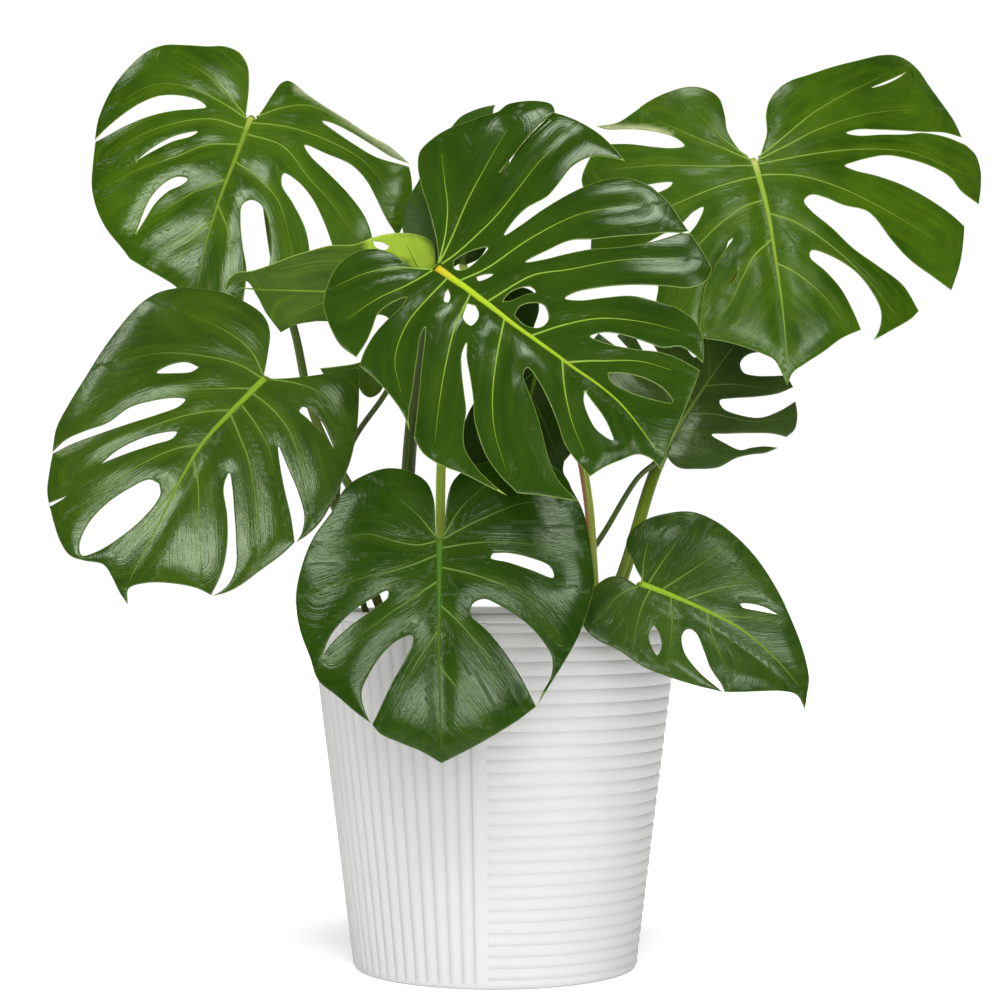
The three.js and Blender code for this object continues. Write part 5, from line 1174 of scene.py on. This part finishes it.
def pot_rows():
    """Height, radius, depth of the level ribs and share of the flutes, from the foot to the inside."""
    rows = [(0.0, wall(0) - 5.2, 0, 0)]
    for z in (0.25, 0.9, 1.9, 3.2, 4.6):
        inset = BASE_CORNER - math.sqrt(BASE_CORNER**2 - (BASE_CORNER - z) ** 2)
        rows.append((z, wall(BASE_CORNER) - inset, 0, min(1, max(0, (z - 2) / 2.6)) * 0.8))
    rows.append((5.6, wall(5.6), 0.6, 1))
    grooves = groove_heights() + [BODY_TOP + 1.6]
    for low, high in zip(grooves, grooves[1:]):
        for t in RIB_STEPS:
            z = low + (high - low) * t
            if z < BODY_TOP - 0.1:
                rows.append((z, wall(z), swelling(t, RIB_SHARE), 1))
    rows.append((BODY_TOP - 0.05, wall(BODY_TOP), 0.7, 1))
    plain = [(BODY_TOP + rise, wall(POT_HEIGHT) - inset) for rise, inset in LIP_FOOT]
    plain += [(POT_HEIGHT - drop, wall(POT_HEIGHT) - inset) for drop, inset in LIP_TOP]
    plain += [(POT_HEIGHT - drop, inner(POT_HEIGHT) - inset) for drop, inset in MOUTH]
    plain += [(z, inner(z)) for z in (POT_HEIGHT - 1.6, 220, 150, 80, POT_FLOOR + 6)]
    plain += [(POT_FLOOR + rise, inner(POT_FLOOR) - inset) for rise, inset in INNER_FOOT]
    return rows + [(z, radius, 0, 0) for z, radius in plain]


def pot_columns():
    """Angle, depth of the flutes and share of the ribs, once round the pot."""
    first = RIB_START - PLAIN_BAND
    columns = []
    for k in range(FLUTE_COUNT):
        columns += [(first - (k + t) * FLUTE_PITCH, swelling(t, 1.0), 0) for t in FLUTE_STEPS]
    last = first - FLUTE_COUNT * FLUTE_PITCH
    columns += [(last, GROOVE_DEPTH, 0), (last - 0.25, 0.4, 0), (last - 0.6, 0, 0)]
    near = last - PLAIN_BAND
    columns += [(last - PLAIN_BAND / 2, 0, 0), (near + 0.3, 0, 0), (near, 0, 0)]
    span = 360 - (RIB_START - near)
    for i in range(RIBBED_COLUMNS + 1):
        columns.append((near - 0.25 - (span - 0.5) * i / RIBBED_COLUMNS, 0, 1))
    far = near - span
    columns += [(far, 0, 0), (far - 0.3, 0, 0), (far - PLAIN_BAND / 2, 0, 0)]
    columns += [(far - PLAIN_BAND + 0.6, 0, 0), (far - PLAIN_BAND + 0.25, 0.4, 0)]
    return columns


def make_pot():
    rows, columns = pot_rows(), pot_columns()
    count = len(columns)
    points, hollow = [], []
    for z, radius, rib, flute in rows:
        for angle, dip, ribbed in columns:
            depth = rib * ribbed + dip * flute
            turn = math.radians(angle)
            r = radius - depth
            points.append((r * math.sin(turn), -r * math.cos(turn), z))
            hollow.append(min(1, depth / GROOVE_DEPTH))
    # The columns run clockwise seen from above, so the quads are turned over.
    faces = [(b, a, d, c) for a, b, c, d in tube_faces(len(rows), count)]
    points += [(0, 0, 0), (0, 0, POT_FLOOR)]
    hollow += [0, 0]
    low, high = len(points) - 2, len(points) - 1
    last = (len(rows) - 1) * count
    for k in range(count):
        n = (k + 1) % count
        faces += [(low, k, n), (high, last + n, last + k)]
    made = build("planter", points, faces, [pot_shader("pot_glaze_and_groove_shade")])
    # Each point's depth in a groove, which the pot's shader turns into painted shade.
    number(made, "hollow", hollow)
    hand_over(made, "pot")


# ---------------------------------------------------------------- soil
# The bed's rings, its points round, how far it lies below the solid's top, and the height of waves and grit.
SOIL_RINGS = 46
SOIL_SIDES = 110
SOIL_DROP = 1.5
SOIL_WAVE = 1.6
SOIL_GRIT = 0.9
# How many crumbs there are, how many make one white grain, and the sizes of both.
CRUMBS = 1500
WHITE_EVERY = 19
CRUMB_SIZE = (0.8, 2.9)
WHITE_SIZE = (1.0, 2.0)
FIFTH_TURN = 1.2566


def soil_bed(edge):
    """A closed body that fills the pot and has a lumpy top."""
    points = []
    around = np.linspace(0, 2 * math.pi, SOIL_SIDES, endpoint=False)
    for z, r in ((POT_FLOOR + 0.5, inner(POT_FLOOR) - 7), (POT_FLOOR + 7, inner(POT_FLOOR + 7) - 0.5)):
        points += [(r * math.cos(a), r * math.sin(a), z) for a in around]
    for k in range(SOIL_RINGS):
        r = edge * (1 - k / SOIL_RINGS)
        for a in around:
            x, y = r * math.cos(a), r * math.sin(a)
            z = soil_level(x, y) - SOIL_DROP
            if k > 0:
                wave = SOIL_WAVE * math.sin(x * 0.21 + 2) * math.cos(y * 0.17)
                z += wave + rng.uniform(-SOIL_GRIT, SOIL_GRIT)
            points.append((x, y, z))
    rows = SOIL_RINGS + 2
    faces = tube_faces(rows, SOIL_SIDES)
    points += [(0, 0, POT_FLOOR + 0.5), (0, 0, SOIL_TOP + SOIL_CROWN - SOIL_DROP)]
    low, high = len(points) - 2, len(points) - 1
    last = (rows - 1) * SOIL_SIDES
    for k in range(SOIL_SIDES):
        n = (k + 1) % SOIL_SIDES
        faces += [(low, n, k), (high, last + k, last + n)]
    return points, faces


def crumb_form():
    """A ball of twelve points: two poles and two rings of five."""
    fifths = [(math.cos(a), math.sin(a)) for a in np.arange(5) * FIFTH_TURN]
    ball = [(0, 0, 1), (0, 0, -1)] + [(x, y, z) for z in (0.5, -0.5) for x, y in fifths]
    sides = []
    for k in range(5):
        n = (k + 1) % 5
        sides += [(0, 2 + k, 2 + n), (1, 7 + n, 7 + k), (2 + k, 7 + k, 7 + n, 2 + n)]
    return ball, sides


def make_soil():
    """A crumbly bed, with loose crumbs and a few white grains lying on it."""
    edge = inner(SOIL_TOP) - 0.5
    points, faces = soil_bed(edge)
    shade = [0.0] * len(points)
    ball, sides = crumb_form()
    for i in range(CRUMBS):
        r, a = (edge - 4) * math.sqrt(rng.uniform()), rng.uniform(0, 2 * math.pi)
        x, y = r * math.cos(a), r * math.sin(a)
        white = i % WHITE_EVERY == 0
        size = rng.uniform(*(WHITE_SIZE if white else CRUMB_SIZE))
        base = len(points)
        squeeze = rng.uniform(0.6, 1.3, 3) * size
        turn = Matrix.Rotation(rng.uniform(0, FULL_TURN), 3, "Z")
        turn = turn @ Matrix.Rotation(rng.uniform(-0.6, 0.6), 3, "X")
        for p in ball:
            q = turn @ Vector(np.array(p) * squeeze * rng.uniform(0.8, 1.15))
            points.append((x + q.x, y + q.y, soil_level(x, y) - 0.6 + q.z * 0.8))
        faces += [tuple(j + base for j in f) for f in sides]
        shade += [1.0 if white else rng.uniform(0, 0.9)] * len(ball)
    made = build("potting_soil", points, faces, [soil_shader("soil_finish")])
    number(made, "shade", shade)
    hand_over(made, "soil")


# ---------------------------------------------------------------- floor, light and camera
FLOOR_HALF = 14.0
# How bright the surroundings are for diffuse light, for the camera and for reflections.
AMBIENT = 0.13
BACKDROP = 1.02
GLOSSY_AMBIENT = 0.035
# Each broad lamp: azimuth, elevation, breadth in degrees, strength.
SUNS = (("overhead", 0, 60, 50, 4.1), ("front", 2, 10, 50, 2.6))
# Each box: azimuth from the front to the right, elevation, distance, width and height in metres, watts.
BOXES = (
    ("box_left", -39, 29.5, 6.0, (1.9, 0.8), 66),
    ("box_front", 0, 16.5, 6.0, (2.3, 0.7), 60),
    ("box_right", 32, 26.5, 6.0, (1.8, 0.75), 50),
    ("box_above", 46, 71, 6.0, (1.4, 1.2), 60),
    ("box_far_left", -92, 44, 6.0, (0.8, 0.6), 14),
    ("box_high_right", 38, 45, 6.0, (0.6, 0.6), 14),
    ("box_behind_left", -150, 30, 2.6, (1.2, 1.2), 4),
    ("box_behind_right", 140, 40, 2.6, (1.2, 1.2), 4),
)
BOX_CENTRE = Vector((0, 0, 0.4))
SUN_DISTANCE = 3
# The view in pixels: the picture's width, its focal length and how far the horizon lies below its middle.
PICTURE = 1000
FOCAL = 2270
HORIZON = 65
SENSOR = 36
CAMERA_PLACE = (0.0034, -1.565, 0.2737)


def direction(azimuth, elevation):
    a, e = math.radians(azimuth), math.radians(elevation)
    return Vector((math.sin(a) * math.cos(e), -math.cos(a) * math.cos(e), math.sin(e)))


def add_lamp(name, lamp, spot, way):
    """A lamp at a spot that shines back along the way it was reached by."""
    obj = put(name, lamp)
    obj.location = spot
    obj.rotation_euler = (-way).to_track_quat("-Z", "Y").to_euler()
    return obj


def make_stage():
    h = FLOOR_HALF
    mesh = bpy.data.meshes.new("floor")
    mesh.from_pydata([(-h, -h, 0), (h, -h, 0), (h, h, 0), (-h, h, 0)], [], [(0, 1, 2, 3)])
    mesh.materials.append(floor_shader("floor_finish"))
    floor = put("floor", mesh)


def make_backdrop():
    """Surroundings that are white to the camera and give little light themselves."""
    world = bpy.data.worlds.new("room")
    bpy.context.scene.world = world
    world.use_nodes = True
    nodes = Nodes(world.node_tree)
    path = nodes.node("ShaderNodeLightPath", {})
    around = nodes.remap(path.outputs["Is Glossy Ray"], 0, 1, AMBIENT, GLOSSY_AMBIENT)
    strength = nodes.remap(path.outputs["Is Camera Ray"], 0, 1, around, BACKDROP)
    background = world.node_tree.nodes["Background"]
    nodes.feed(background.inputs["Color"], SCREEN_WHITE)
    nodes.feed(background.inputs["Strength"], strength)


def make_light():
    """Boxes for the reflections, a broad overhead and a low front lamp for the rest, weak fill behind."""
    for name, azimuth, elevation, distance, size, power in BOXES:
        way = direction(azimuth, elevation)
        lamp = bpy.data.lights.new(name, "AREA")
        lamp.shape = "RECTANGLE"
        lamp.size, lamp.size_y = size
        lamp.energy = power
        box = add_lamp(name, lamp, BOX_CENTRE + way * distance, way)
        box.visible_camera = False
        box.visible_diffuse = name.startswith("box_behind")
    for name, azimuth, elevation, breadth, power in SUNS:
        lamp = bpy.data.lights.new(name, "SUN")
        lamp.angle = math.radians(breadth)
        lamp.energy = power
        way = direction(azimuth, elevation)
        add_lamp(name, lamp, way * SUN_DISTANCE, way).visible_glossy = False


def make_camera():
    camera = bpy.data.cameras.new("camera")
    camera.sensor_width = SENSOR
    camera.lens = SENSOR * FOCAL / PICTURE
    obj = put("camera", camera)
    obj.location = CAMERA_PLACE
    obj.rotation_euler = (math.radians(90) + math.atan(HORIZON / FOCAL), 0, 0)
    bpy.context.scene.camera = obj


make_pot()
make_soil()
for leaf in LEAVES:
    make_stalk(leaf, make_blade(leaf))
make_stage()
make_backdrop()
make_light()
make_camera()
bpy.context.scene.view_settings.view_transform = "Standard"
